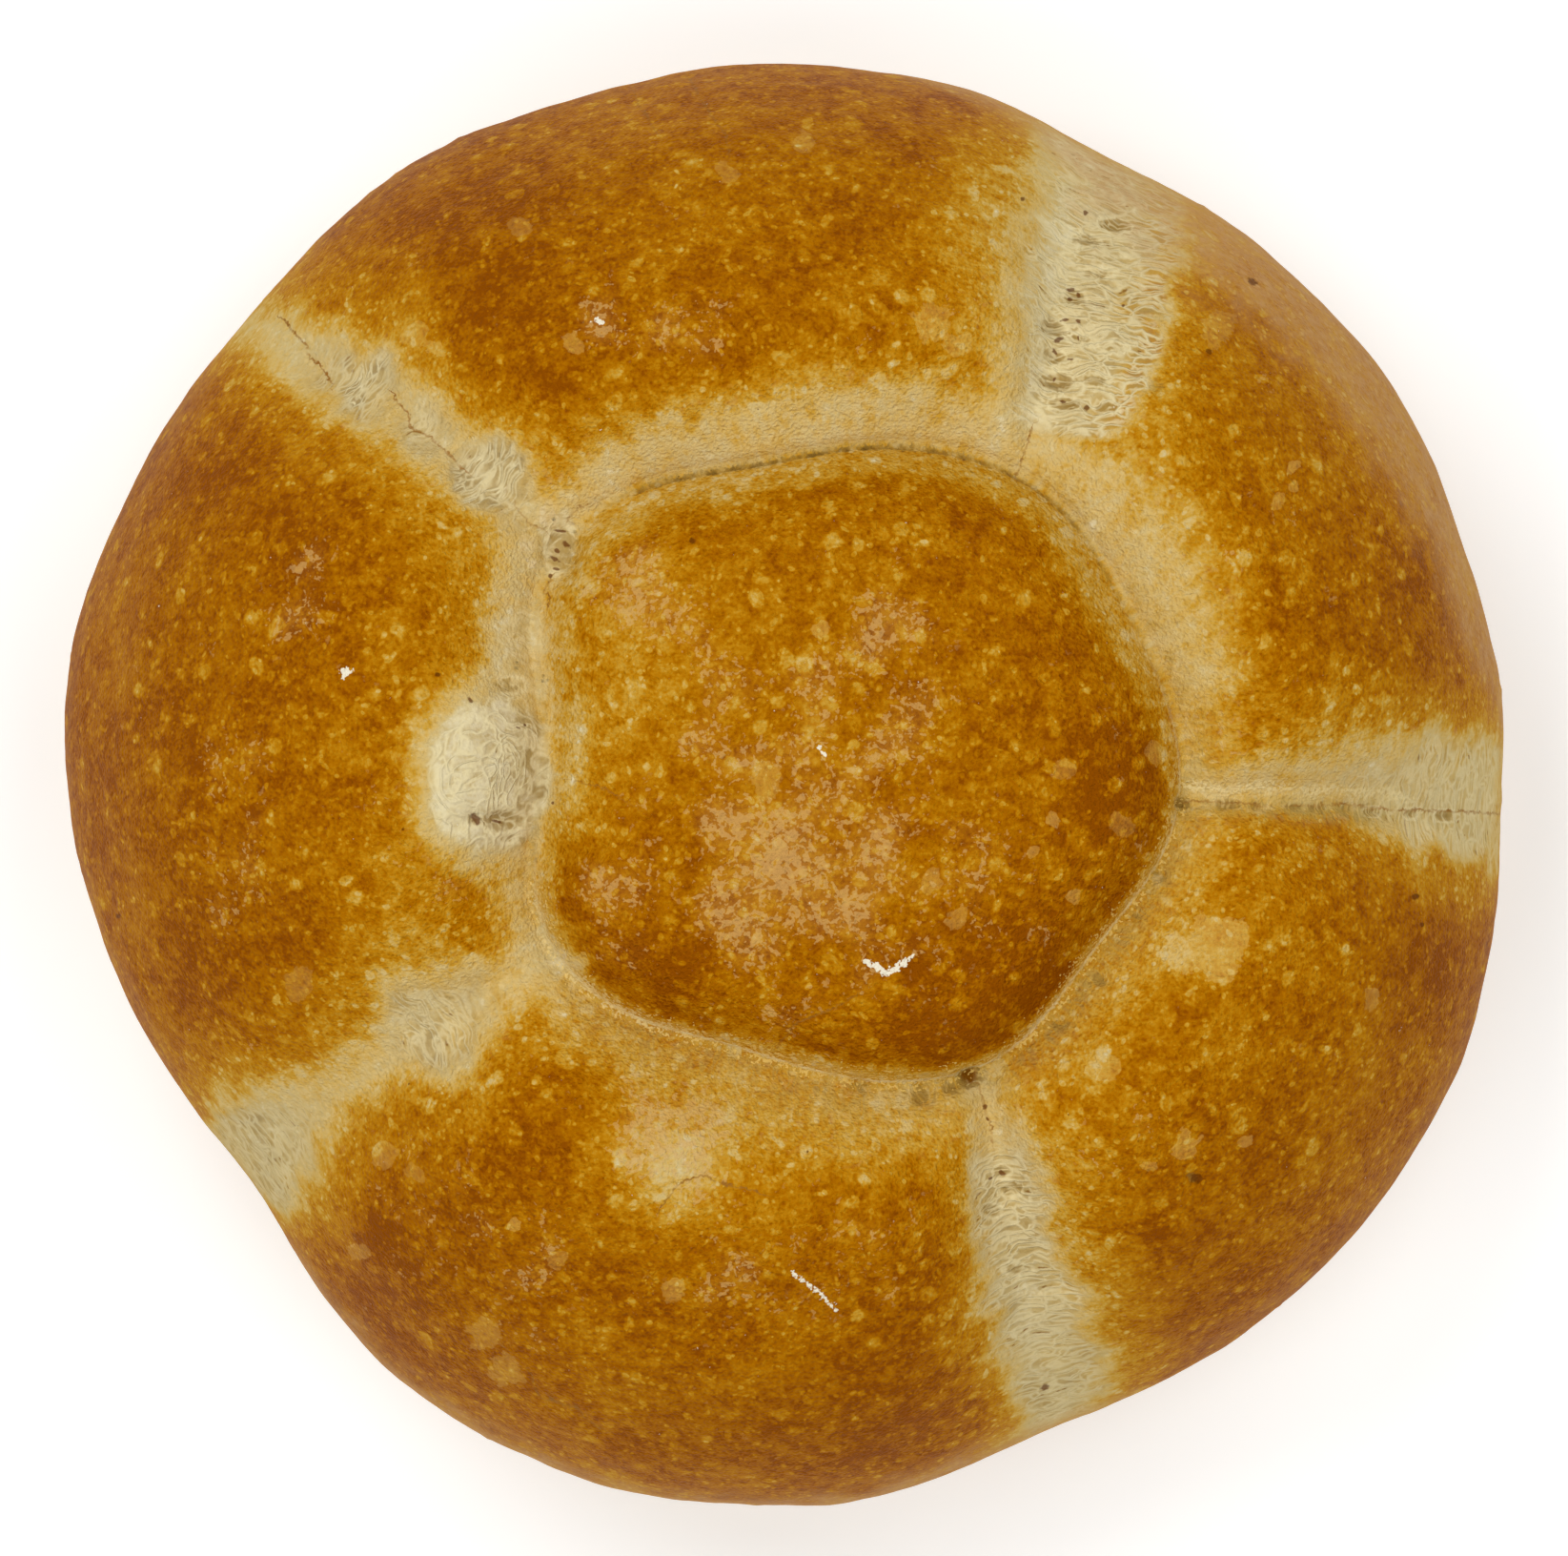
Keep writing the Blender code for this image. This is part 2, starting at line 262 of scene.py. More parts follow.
# At each station along a seam: its share of the way out, the bared width clockwise and anticlockwise of
# the seam, the fade beyond each, and how torn the crumb is there, from 0 for stretched skin to 1 for a web.
STATIONS = (
    (
        (0.0, 0.8, 0.8, 1.5, 2.0, 0.0),
        (0.13, 1.0, 0.6, 3.5, 4.0, 0.2),
        (0.17, 6.4, 1.7, 1.6, 4.6, 1.0),
        (0.45, 7.6, 2.2, 1.6, 5.4, 1.0),
        (0.8, 7.0, 3.4, 2.0, 4.8, 0.9),
        (1.0, 6.4, 3.8, 1.6, 3.0, 0.7),
    ),
    (
        (0.0, 1.6, 1.6, 2.0, 2.2, 0.2),
        (0.1, 1.2, 1.6, 1.8, 2.4, 0.3),
        (0.22, 2.6, 2.8, 2.2, 2.4, 1.0),
        (0.3, 2.2, 2.4, 2.2, 2.4, 1.0),
        (0.36, 1.6, 1.8, 2.4, 3.0, 0.1),
        (0.46, 1.4, 1.6, 2.4, 3.0, 0.7),
        (0.54, 1.8, 1.8, 2.4, 3.0, 0.1),
        (0.64, 2.6, 2.4, 2.6, 2.8, 1.0),
        (0.74, 2.0, 2.0, 3.0, 3.0, 0.5),
        (0.86, 1.0, 1.0, 3.4, 3.0, 0.0),
        (1.0, 0.4, 0.4, 3.5, 3.0, 0.0),
    ),
    (
        (0.0, 0.8, 0.6, 1.4, 1.6, 0.1),
        (0.14, 1.0, 0.8, 2.4, 2.8, 0.1),
        (0.26, 3.2, 1.6, 3.4, 3.2, 0.5),
        (0.4, 3.6, 3.2, 3.6, 3.6, 0.8),
        (0.52, 0.6, 0.2, 4.2, 3.8, 0.2),
        (0.66, 0.2, -0.2, 4.6, 3.8, 0.1),
        (0.8, 2.4, 2.8, 3.6, 3.4, 0.5),
        (0.9, 3.0, 4.0, 3.2, 3.4, 0.7),
        (1.0, 3.4, 4.6, 2.8, 3.0, 0.6),
    ),
    (
        (0.0, 0.8, 0.8, 1.5, 1.5, 0.0),
        (0.2, 1.0, 1.4, 1.6, 3.0, 0.3),
        (0.26, 1.9, 2.2, 1.0, 2.0, 0.9),
        (0.48, 2.2, 3.2, 1.8, 2.6, 0.9),
        (0.7, 2.6, 3.2, 2.6, 3.0, 0.8),
        (1.0, 2.0, 3.4, 2.4, 2.8, 0.7),
    ),
    (
        (0.0, 0.8, 1.2, 1.6, 2.6, 0.0),
        (0.25, 0.3, 1.8, 1.6, 3.4, 0.2),
        (0.5, 0.6, 2.8, 1.8, 3.8, 0.4),
        (0.72, 3.0, 3.8, 2.2, 3.2, 0.7),
        (1.0, 4.4, 5.0, 2.0, 2.2, 0.8),
    ),
)
# Round the button, by azimuth seen from its middle: the width of its ochre flank, how deep the crease is and
# how dark the painted shade line in it is, how pale the fringe on the button's edge is, how strong the
# painted grey shade in the hollow beside it is and how wide, and the width and paleness of the petals' inner
# slopes.
RING_COLUMNS = ("flank", "crease", "fringe", "hollow", "hollow_width", "slope", "paleness")
RINGS = (
    (0.0, 1.6, 0.1, 0.5, 0.7, 1.4, 5.0, 0.85),
    (18.0, 2.6, 0.3, 0.2, 0.6, 1.8, 7.5, 0.95),
    (36.0, 3.4, 0.3, 0.0, 0.4, 2.0, 8.5, 0.95),
    (50.0, 3.0, 0.7, 0.0, 0.4, 1.2, 8.0, 0.9),
    (61.0, 2.6, 0.6, 0.1, 0.2, 1.2, 6.0, 0.8),
    (90.0, 2.6, 1.0, 0.1, 0.1, 1.0, 6.4, 1.0),
    (125.0, 3.0, 1.0, 0.1, 0.2, 1.0, 5.6, 1.0),
    (138.0, 3.4, 0.1, 0.0, 0.0, 1.2, 5.0, 1.0),
    (155.0, 4.0, 0.25, 0.0, 0.45, 1.3, 4.6, 0.95),
    (176.0, 4.0, 0.25, 0.0, 0.4, 1.2, 7.0, 0.9),
    (192.0, 2.6, 0.5, 0.1, 0.4, 1.0, 4.5, 0.75),
    (206.0, 1.6, 0.2, 1.0, 0.3, 1.4, 3.2, 0.6),
    (228.0, 0.9, 0.1, 1.0, 0.6, 1.8, 5.0, 0.35),
    (248.0, 1.4, 0.1, 0.8, 0.6, 2.2, 7.0, 0.4),
    (270.0, 1.4, 0.1, 0.8, 0.6, 2.2, 7.5, 0.45),
    (288.0, 1.0, 0.1, 0.8, 0.7, 2.0, 4.4, 0.4),
    (300.0, 0.8, 0.0, 1.0, 0.7, 1.5, 5.5, 0.15),
    (325.0, 0.8, 0.0, 0.9, 0.7, 1.3, 6.0, 0.08),
    (345.0, 1.0, 0.0, 0.8, 0.7, 1.2, 4.5, 0.25),
)
# How far the crumb is toasted towards the clockwise edge of each torn seam, and elsewhere.
TOASTED = (1.0, 0.3, 0.3, 0.6, 0.4)
TOASTED_ELSEWHERE = 0.4
# SEAM_SHADES and BURST_SHADE set the painted shade that darkens the crumb's cells in each torn seam and in
# the burst.
SEAM_SHADES = (0.4, 0.95, 0.75, 0.55, 0.35)  # how dull the crumb's cells are in each torn seam
BURST_SHADE = 0.45

# Where the crease's dough burst: the large swirl, the stretched web above it, and the crater where the
# crease meets the upper left seam. Each is an oval that reaches so far across and up.
Burst = namedtuple("Burst", "x y across up torn")
BURSTS = (
    Burst(-22.4, 0.9, 5.2, 6.2, 1.0),
    Burst(-19.8, 9.6, 2.2, 4.6, 0.5),
    Burst(-17.0, 18.0, 1.4, 2.6, 0.9),
)
# The upper seam's anticlockwise wall faces the weaker lamps. Its cells get no painted shade, and its crust is
# painted lighter (see TOUCHES), so that it looks lit.
UPPER_SEAM = 0  # the seam whose anticlockwise wall is bright
RIGHT_SEAM = 4  # the seam whose anticlockwise edge hangs over a hollow


def between(rows, places, period=None):
    """A table's other columns, read between its rows at places on the scale of its first column."""
    at, *columns = np.array(rows).T
    return [np.interp(places, at, column, period=period) for column in columns]


def seam_waves(index, long, wide, seed):
    """Noise laid out along one seam, with features so long and so wide."""
    side, _, share = beside[index]
    way_out = share * seam_reaches[index] + RUN_DOWN * down
    return waves(way_out / long, side / wide, np.full(len(side), index * SEAMS_APART), seed=seed)


def from_oval(x, y, across, up):
    return np.hypot((plan[:, 0] - x) / across, (plan[:, 1] - y) / up)


def united(*shares):
    """Shares that overlap, joined so that none goes past 1."""
    left = 1.0
    for share in shares:
        left = left * (1.0 - share)
    return 1.0 - left


side_fade = eased(*SEAM_END_BLEND, height + 2.5 * ragged)
pale_shares = []
gold_shares = []
torn_shares = []
toasted = np.zeros(len(spots))
shade = np.zeros(len(spots))
for index, (side, distance, share) in enumerate(beside):
    clockwise = side > 0
    clockwise_width, other_width, clockwise_fade, other_fade, tearing = between(STATIONS[index], share)
    width = np.where(clockwise, clockwise_width, other_width)
    fade = np.where(clockwise, clockwise_fade, other_fade)
    fingers = seam_waves(index, 0.8, 6.0, seed=11.0)
    slow = seam_waves(index, 3.4, 9.0, seed=12.0)
    width = width + (0.8 * ragged + 0.7 * fingers + 1.6 * slow) * np.clip(width / 2.8, 0.15, 1.0)
    bared = 1.0 - eased(width - 0.2, width + 0.9 * fade, distance)
    gilded = 1.0 - eased(width + 0.1 * fade, width + 2.3 * fade + 1.6, distance + 1.2 * ragged)
    core = 1.0 - eased(width - 0.5 - 0.15 * fade, width + 0.4 + 0.15 * fade, distance)
    pale_shares.append(bared * outside * side_fade)
    gold_shares.append(gilded * outside * side_fade)
    torn_shares.append(core * tearing * outside * side_fade)
    edge_toast = eased(0.45, 1.0, distance / np.maximum(width, 0.5) + 0.25 * ragged)
    edge_toast *= np.where(clockwise, TOASTED[index], TOASTED_ELSEWHERE)
    toasted = np.maximum(toasted, edge_toast * torn_shares[-1])
    # Painted shade in the torn crumb's cells, left off the upper seam's lit wall.
    lit_wall = (index == UPPER_SEAM) * eased(1.0, -1.0, side)
    shade = np.maximum(shade, SEAM_SHADES[index] * torn_shares[-1] * (1.0 - lit_wall))

ring = dict(zip(RING_COLUMNS, between(RINGS, button_azimuth, period=360.0)))
slope = ring["slope"] + 1.0 * ring_fingers + 0.8 * ragged
slope_pale = (1.0 - eased(0.45, 1.1, past_edge / slope)) * ring["paleness"] * outside
slope_gold = (1.0 - eased(0.7, 1.55, (past_edge + 0.8 * ragged) / slope)) * outside
torn_bursts = []
pale_bursts = []
beyond_edge = eased(-1.4, 0.0, past_edge + 0.4 * ragged)
for spot in BURSTS:
    from_burst = from_oval(spot.x, spot.y, spot.across, spot.up) - 0.5 * ragged / spot.across
    torn_bursts.append((1.0 - eased(0.8, 1.05, from_burst)) * spot.torn * beyond_edge)
    pale_bursts.append((1.0 - eased(0.9, 1.45, from_burst)) * beyond_edge)
burst = torn_bursts[0]
torn = united(*torn_shares, *torn_bursts)
open_crumb = torn * (0.75 + 0.7 * waves(spots / 5.0, seed=23.0))
right_half = eased(-24.5, -19.0, plan[:, 0])
open_crumb -= burst * (0.5 - 0.7 * right_half)
open_crumb = np.clip(open_crumb, 0.0, 1.0)
shade = np.maximum(shade, BURST_SHADE * burst * (0.5 + 0.9 * right_half))
shade *= 1.0 + 0.8 * waves(spots / 2.2, seed=61.0)
pale = united(*pale_shares, *pale_bursts, slope_pale)
gold = united(*gold_shares, *pale_bursts, slope_gold)
flank = (1.0 - eased(0.55, 1.2, -(past_edge + 0.4 * ragged) / ring["flank"])) * (1.0 - outside)
# Painted shade: a grey band in the hollow beside the crease, and under the right seam's overhanging edge.
hollow = ring["hollow"] * np.exp(-(((past_edge - 1.0) / ring["hollow_width"]) ** 2)) * outside
side, _, share = beside[RIGHT_SEAM]
overhang_shade = np.exp(-(((side - 0.7) / 0.8) ** 2)) * (1.0 - eased(0.5, 0.9, share)) * outside
hollow = np.maximum(hollow, 1.15 * overhang_shade) * (0.75 + 0.35 * ring_fingers + 0.25 * ragged)


# -----------------------------------------------------------------------------
# The crust's relief: slow lumps, crisp creases, torn floors with strands across them, pits, blisters and
# cracks. The dough puffed and tore here, so each is moved out of or into the skin by given heights.

LUMPS = ((9.0, 0.22), (3.4, 0.1), (1.5, 0.04))  # length and height of the crust's unevenness
BUTTON_CUT = 6.2  # depth of the button's crease
FLANK_SLOPE = 3.8  # how slowly the solid's flank falls into it
CRISP_SLOPE = 1.7  # how fast it does where the edge is crisp
CRISPNESS = 0.6
CREASE_DEPTH = 0.55
CREASE_WIDTH = 0.4
LIP_HEIGHT = 0.18
STRAND_HEIGHT = 0.1
TORN_DEPTH = 0.25
CRUMB_UNEVENNESS = 0.1
BURST_UNEVENNESS = 0.1
UNDERSIDE_ROUGHNESS = 0.12
UNDERSIDE_TOP = 0.02  # the net's spots below this height are the underside's

# Hollows where the crumb or the skin sank in: x, y, reach across, reach up, depth, and how dark the painted
# shade in them is.
POCKETS = (
    (-21.4, -2.5, 1.6, 0.8, 0.6, 0.8), (-23.5, -2.3, 0.7, 0.6, 0.6, 0.5), (-21.0, -3.8, 0.7, 0.4, 0.3, 0.4),
    (-21.0, 7.8, 1.5, 0.7, 0.3, 0.4), (-17.0, 18.0, 1.4, 2.4, 0.6, 0.35), (25.0, 43.0, 1.3, 0.5, 0.4, 0.8),
    (22.7, 41.8, 1.3, 0.5, 0.3, 0.5), (23.6, 39.2, 1.6, 0.5, 0.2, 0.4), (21.8, 37.4, 0.8, 0.6, 0.4, 0.7),
    (20.3, 35.1, 0.9, 0.7, 0.6, 0.7), (22.2, 34.2, 1.0, 0.5, 0.3, 0.4), (20.3, 32.9, 0.8, 0.6, 0.5, 0.7),
    (20.5, 30.9, 1.2, 0.7, 0.6, 0.8), (23.4, 31.0, 1.3, 0.5, 0.2, 0.4), (24.5, 33.6, 1.6, 0.4, 0.2, 0.4),
    (21.0, 29.2, 1.2, 0.45, 0.5, 0.9), (24.2, 28.9, 1.1, 0.4, 0.2, 0.5), (28.0, 30.6, 0.8, 0.8, 0.3, 0.5),
    (13.9, -21.9, 1.1, 0.9, 0.5, 1.1), (12.4, -22.6, 0.8, 0.6, 0.4, 0.7), (10.4, -23.1, 1.1, 0.9, 0.5, 0.7),
    (5.6, -22.5, 1.0, 0.6, 0.3, 0.4), (16.3, -29.1, 0.6, 0.5, 0.3, 0.7), (17.0, -30.5, 0.8, 0.5, 0.4, 0.7),
    (15.6, -32.0, 0.9, 0.6, 0.3, 0.4), (17.6, -36.5, 1.2, 0.5, 0.2, 0.4), (29.9, -1.1, 0.6, 0.5, 0.4, 0.9),
    (33.4, -1.1, 1.0, 0.5, 0.4, 0.9), (35.9, -1.3, 0.9, 0.5, 0.3, 0.7), (38.4, -1.3, 0.8, 0.4, 0.3, 0.5),
    (40.4, -1.4, 0.8, 0.5, 0.3, 0.7), (42.7, -1.4, 0.6, 0.4, 0.3, 0.5), (44.5, -1.7, 0.7, 0.4, 0.3, 0.6),
    (47.6, -1.9, 0.6, 0.4, 0.3, 0.5), (50.2, -2.1, 0.8, 0.4, 0.4, 0.7), (28.1, -6.6, 0.7, 0.6, 0.3, 0.6),
    (26.3, -9.8, 0.6, 0.5, 0.2, 0.5), (23.6, -14.4, 0.7, 0.6, 0.3, 0.6), (20.6, -17.6, 0.9, 0.6, 0.3, 0.5),
    (30.8, -29.5, 0.5, 0.5, 0.4, 0.6),
)

# The small dark specks and slits, in rows of what Speck names: scorched specks on the crust, and painted
# shade in the pits and slits of the torn crumb and the crater. A slit is stretched along a tilted line.
Speck = namedtuple("Speck", "x y reach stretch tilt", defaults=(1.0, 0.0))
SPECKS = (
    (-23.5, -2.3, 0.28, 1.7, -60.0), (-21.9, -2.5, 0.12, 3.0, -15.0), (-23.9, 6.7, 0.14, 1.8, -45.0),
    (-26.4, 8.6, 0.17, 1.5, -20.0), (-19.8, 4.8, 0.11), (-20.3, 4.6, 0.07, 2.5, -20.0), (-17.7, -1.1, 0.1),
    (21.6, 37.8, 0.16, 2.2, -8.0), (22.1, 37.4, 0.15, 1.7, -80.0), (21.5, 37.1, 0.14, 1.5, 0.0),
    (25.5, 36.6, 0.12), (21.1, 35.5, 0.13, 2.6, 8.0), (22.1, 35.4, 0.15, 1.4, -30.0),
    (20.6, 34.0, 0.17, 2.6, 25.0), (22.1, 34.1, 0.09, 2.4, 90.0), (20.3, 33.1, 0.15, 1.8, -60.0),
    (21.5, 32.5, 0.08, 3.4, -5.0), (20.3, 31.0, 0.12, 1.6, 60.0), (20.9, 29.3, 0.1, 2.6, -8.0),
    (22.7, 28.8, 0.19, 1.4, 50.0), (22.7, 43.7, 0.18), (15.0, -24.1, 0.16, 1.3, 70.0),
    (15.2, -25.0, 0.1, 1.8, -60.0), (16.3, -29.1, 0.2, 1.4, -30.0), (15.4, -29.5, 0.11, 1.8, 20.0),
    (19.6, -45.5, 0.24, 1.4, 30.0), (-17.1, 19.5, 0.1, 5.5, -4.0), (-16.7, 18.5, 0.2, 1.9, -38.0),
    (-17.4, 18.0, 0.17, 1.4, -30.0), (-17.6, 17.4, 0.17, 2.4, -28.0), (-17.4, 16.6, 0.1, 3.0, -12.0),
    (-17.9, 16.1, 0.17), (-7.1, 18.7, 0.24), (31.0, -29.5, 0.34, 1.5, 0.0), (35.4, 38.5, 0.24, 1.7, -35.0),
    (32.0, 33.1, 0.22), (17.9, 44.7, 0.18), (47.7, -8.2, 0.22, 1.4, 20.0), (48.2, -10.3, 0.18),
    (-50.8, -9.7, 0.2),
)

# How dark the painted shade in each crack is, and the points that it runs through.
CRACKS = (
    (0.6, ((30.0, -1.0), (33.0, -0.9), (36.0, -1.2), (42.6, -1.2), (46.4, -1.6), (50.2, -1.7), (55.4, -2.0))),
    (0.9, ((-38.1, 35.5), (-37.4, 34.6), (-36.4, 33.6), (-36.2, 32.7), (-35.2, 31.9), (-34.8, 31.1))),
    (0.8, ((-29.7, 29.5), (-28.7, 28.5), (-28.5, 27.3), (-27.2, 26.8), (-25.8, 25.6), (-24.6, 24.3))),
    (0.5, ((-20.3, 21.2), (-19.6, 20.2), (-18.6, 19.6))),
    (0.7, ((-18.0, 15.8), (-18.5, 15.0), (-18.1, 14.5), (-18.2, 13.9))),
    (0.7, ((-16.5, 20.3), (-15.9, 21.1), (-15.3, 21.3))),
    (0.5, ((14.3, -21.4), (14.9, -23.8), (15.4, -25.4), (15.6, -26.6))),
    (0.7, ((17.5, 23.8), (18.1, 25.7), (18.6, 27.0))),
    (0.7, ((-9.3, -31.4), (-8.3, -29.9), (-6.2, -29.2), (-4.9, -29.9), (-2.3, -30.4))),
    (0.7, ((-19.4, -44.6), (-18.9, -46.2), (-16.0, -47.0), (-15.0, -48.1), (-14.2, -48.6))),
    (0.6, ((-7.4, 54.1), (-5.9, 51.3), (-4.6, 49.7), (-4.4, 48.4))),
    (0.5, ((-11.4, 52.3), (-10.1, 50.2))),
    (0.6, ((-0.6, -19.4), (0.6, -17.9), (2.8, -17.0), (5.0, -15.8))),
    (0.5, ((-16.1, 0.6), (-13.8, 0.0), (-11.7, -1.2))),
)
CRACK_DEPTH = 0.18
CRACK_WIDTH = 0.35

rise = np.zeros(len(spots))
for length, lump in LUMPS:
    rise += waves(spots / length, seed=length) * lump * upper

# Strands of stretched crumb, drawn across each seam.
for index, torn_share in enumerate(torn_shares):
    strands = 1.0 - 3.0 * np.abs(seam_waves(index, 0.9, 3.6, seed=13.0))
    rise += torn_share * (strands * STRAND_HEIGHT - TORN_DEPTH)
rise += waves(spots / 1.6, seed=17.0) * (CRUMB_UNEVENNESS * torn + BURST_UNEVENNESS * burst)

# The creases, drawn in crisply, and the lip on the button's edge.
rise -= CREASE_DEPTH * (0.3 + 0.7 * ring["crease"]) * np.exp(-(((past_edge - 0.2) / CREASE_WIDTH) ** 2))
rise += LIP_HEIGHT * ring["fringe"] * np.exp(-(((past_edge + 0.7) / 0.5) ** 2))
# The pockets are sunk, and their darkness is kept as painted shade for the material.
pocket = np.zeros(len(spots))
for *oval, depth, darkness in POCKETS:
    sunk = (1.0 - eased(0.3, 1.3, from_oval(*oval))) * upper
    rise -= depth * sunk
    pocket = np.maximum(pocket, darkness * sunk)

crack_gap = np.full(len(spots), 9.0)
crack_strength = np.zeros(len(spots))
for darkness, points in CRACKS:
    side, distance, _ = beside_line(plan, np.array(points))
    closer = distance < np.abs(crack_gap)
    crack_gap[closer] = side[closer]
    crack_strength[closer] = (darkness * eased(1.5, 0.7, distance) * upper)[closer]
rise -= CRACK_DEPTH * crack_strength * np.exp(-((crack_gap / CRACK_WIDTH) ** 2))

# Blisters, scattered over the baked skin in loose clusters.
BLISTERS = 460
BLISTER_REACH = (0.45, 0.9)
BLISTER_STRENGTH = (0.15, 1.0)
BLISTER_HEIGHT = 0.12
CROWDING = (-0.5, 0.4)  # a blister is left out where the slow noise lies below a draw from this range
draw = np.random.default_rng(7)
blister = np.zeros(len(spots))
tree = kdtree.KDTree(len(spots))
for index, spot in enumerate(spots.tolist()):
    tree.insert(spot, index)
tree.balance()
crowded = waves(spots / 6.0, seed=19.0)
made = 0
while made < BLISTERS:
    index = draw.integers(len(spots))
    if crowded[index] < draw.uniform(*CROWDING):
        continue
    made += 1
    reach = draw.uniform(*BLISTER_REACH)
    strength = draw.uniform(*BLISTER_STRENGTH)
    for _, near, gap in tree.find_range(spots[index], reach):
        blister[near] = max(blister[near], strength * (1.0 - (gap / reach) ** 2))
blister *= upper * (1.0 - torn) * (1.0 - 0.6 * pale)
rise += blister * BLISTER_HEIGHT

ways = np.empty(len(crust.vertices) * 3)
crust.vertices.foreach_get("normal", ways)
shaped = spots + ways.reshape(-1, 3) * rise[:, None]
inside = np.minimum(past_edge, 0.0)
crisp = BUTTON_CUT * (np.exp(inside / FLANK_SLOPE) - np.exp(inside / CRISP_SLOPE))
shaped[:, 2] += np.where(past_edge < 0.0, crisp * eased(0.3, 0.8, ring["fringe"]) * CRISPNESS, 0.0)
flat = height < UNDERSIDE_TOP
shaped[flat, 2] = np.abs(waves(shaped[flat] / 1.3)) * UNDERSIDE_ROUGHNESS
shaped[:, 2] = np.maximum(shaped[:, 2], 0.0)
crust.vertices.foreach_set("co", (shaped * MM).ravel())
crust.update()


# -----------------------------------------------------------------------------
# How far the crust is baked. The petals' shoulders caught the most heat, the torn crumb hardly any, and
# the sides and the dusted patches stayed dull and rosy.

# The level of baking of the plain crust, its golden edges, the button's flank, the bared dough, the torn
# crumb and the burst, on the scale of colours below
BAKED = 0.84
GOLD = 0.62
FLANK = 0.52
PALE = 0.36
TORN = 0.2
BURST = 0.05
SIDES_PALER = 0.16
CLOUDS = ((13.0, 0.06), (5.0, 0.1), (2.3, 0.1), (1.3, 0.08))  # length and depth of the uneven browning

# Patches of the crust: x, y, reach, and how much darker (or lighter, below 0) it is baked there
TONES = (
    (44.2, 10.4, 9.0, 0.08), (34.0, 29.0, 6.0, -0.08), (-24.8, 45.3, 9.0, 0.09), (-19.0, 32.2, 6.0, 0.12),
    (7.9, 44.6, 8.0, 0.09), (-4.5, 36.0, 7.0, 0.03), (-35.7, 19.1, 6.0, 0.12), (-44.0, 25.0, 8.0, 0.08),
    (-50.0, 3.0, 8.0, 0.1), (-41.5, -15.0, 7.0, 0.1), (-37.9, -7.8, 5.0, 0.05), (-29.0, 5.0, 5.0, -0.04),
    (-30.6, -36.9, 10.0, 0.12), (-19.0, -27.0, 6.0, 0.1), (10.1, -44.1, 7.0, 0.14),
    (-14.6, -36.1, 6.0, 0.03), (-1.6, -52.0, 9.0, 0.05), (31.9, -31.8, 8.0, 0.1), (37.7, -13.6, 5.0, 0.03),
    (50.0, -13.0, 5.0, 0.13), (42.1, -36.0, 7.0, 0.03), (24.0, -28.0, 5.0, -0.08),
    (33.6, -12.0, 1.8, -0.18), (10.0, -28.6, 3.5, 0.07), (-1.8, 52.1, 5.0, 0.06), (26.1, 1.7, 6.5, 0.17),
    (17.3, -15.2, 7.0, 0.2), (9.3, -18.7, 5.0, 0.14), (-8.8, -14.3, 4.0, 0.1), (12.0, 15.0, 7.0, 0.06),
    (-34.3, 12.6, 4.0, 0.12), (3.0, -12.0, 4.0, 0.05), (-13.2, 6.8, 6.0, -0.12), (-9.0, 16.0, 5.0, -0.1),
    (-13.0, -9.5, 4.0, 0.04), (9.3, 32.5, 4.0, 0.07), (-30.0, -3.0, 4.0, -0.06), (-8.1, -28.0, 5.6, -0.4),
    (-7.4, -27.0, 2.2, -0.12), (5.0, -35.0, 6.0, -0.06), (11.0, 35.0, 4.0, -0.04), (14.5, 44.0, 4.0, -0.18),
    (-28.5, 23.0, 3.0, -0.22),
)
# The same, for the dull rosy film of dried flour and steam
FILMS = (
    (3.5, -4.0, 13.0, 0.66), (-3.0, -9.0, 4.0, 0.4), (-12.5, 14.0, 3.0, 0.65), (-13.0, -8.0, 4.0, 0.45),
    (-8.0, -27.0, 5.0, 0.75), (-4.5, -38.0, 5.0, 0.45), (5.0, -35.0, 5.0, 0.35), (23.0, -28.0, 5.0, 0.25),
    (36.0, 20.0, 8.0, 0.12), (7.9, 11.9, 3.4, 0.6), (3.6, 8.6, 2.4, 0.35), (-3.0, -2.7, 2.6, 0.3),
    (-9.4, 16.0, 3.0, 0.5), (-6.0, 4.0, 3.0, 0.25), (-7.4, 35.1, 3.4, 0.5), (-14.0, 35.5, 3.0, 0.45),
    (-40.8, 2.4, 2.6, 0.5), (-41.2, -4.5, 3.0, 0.5), (-38.3, 12.6, 2.6, 0.5), (-36.5, 16.9, 2.4, 0.45),
    (-42.3, -9.2, 2.8, 0.45), (-26.0, -32.0, 6.0, 0.32), (-19.0, -37.0, 5.0, 0.3), (-10.0, -24.0, 4.0, 0.3),
    (11.5, 35.5, 3.5, 0.3), (-26.0, -6.0, 4.0, 0.25),
)
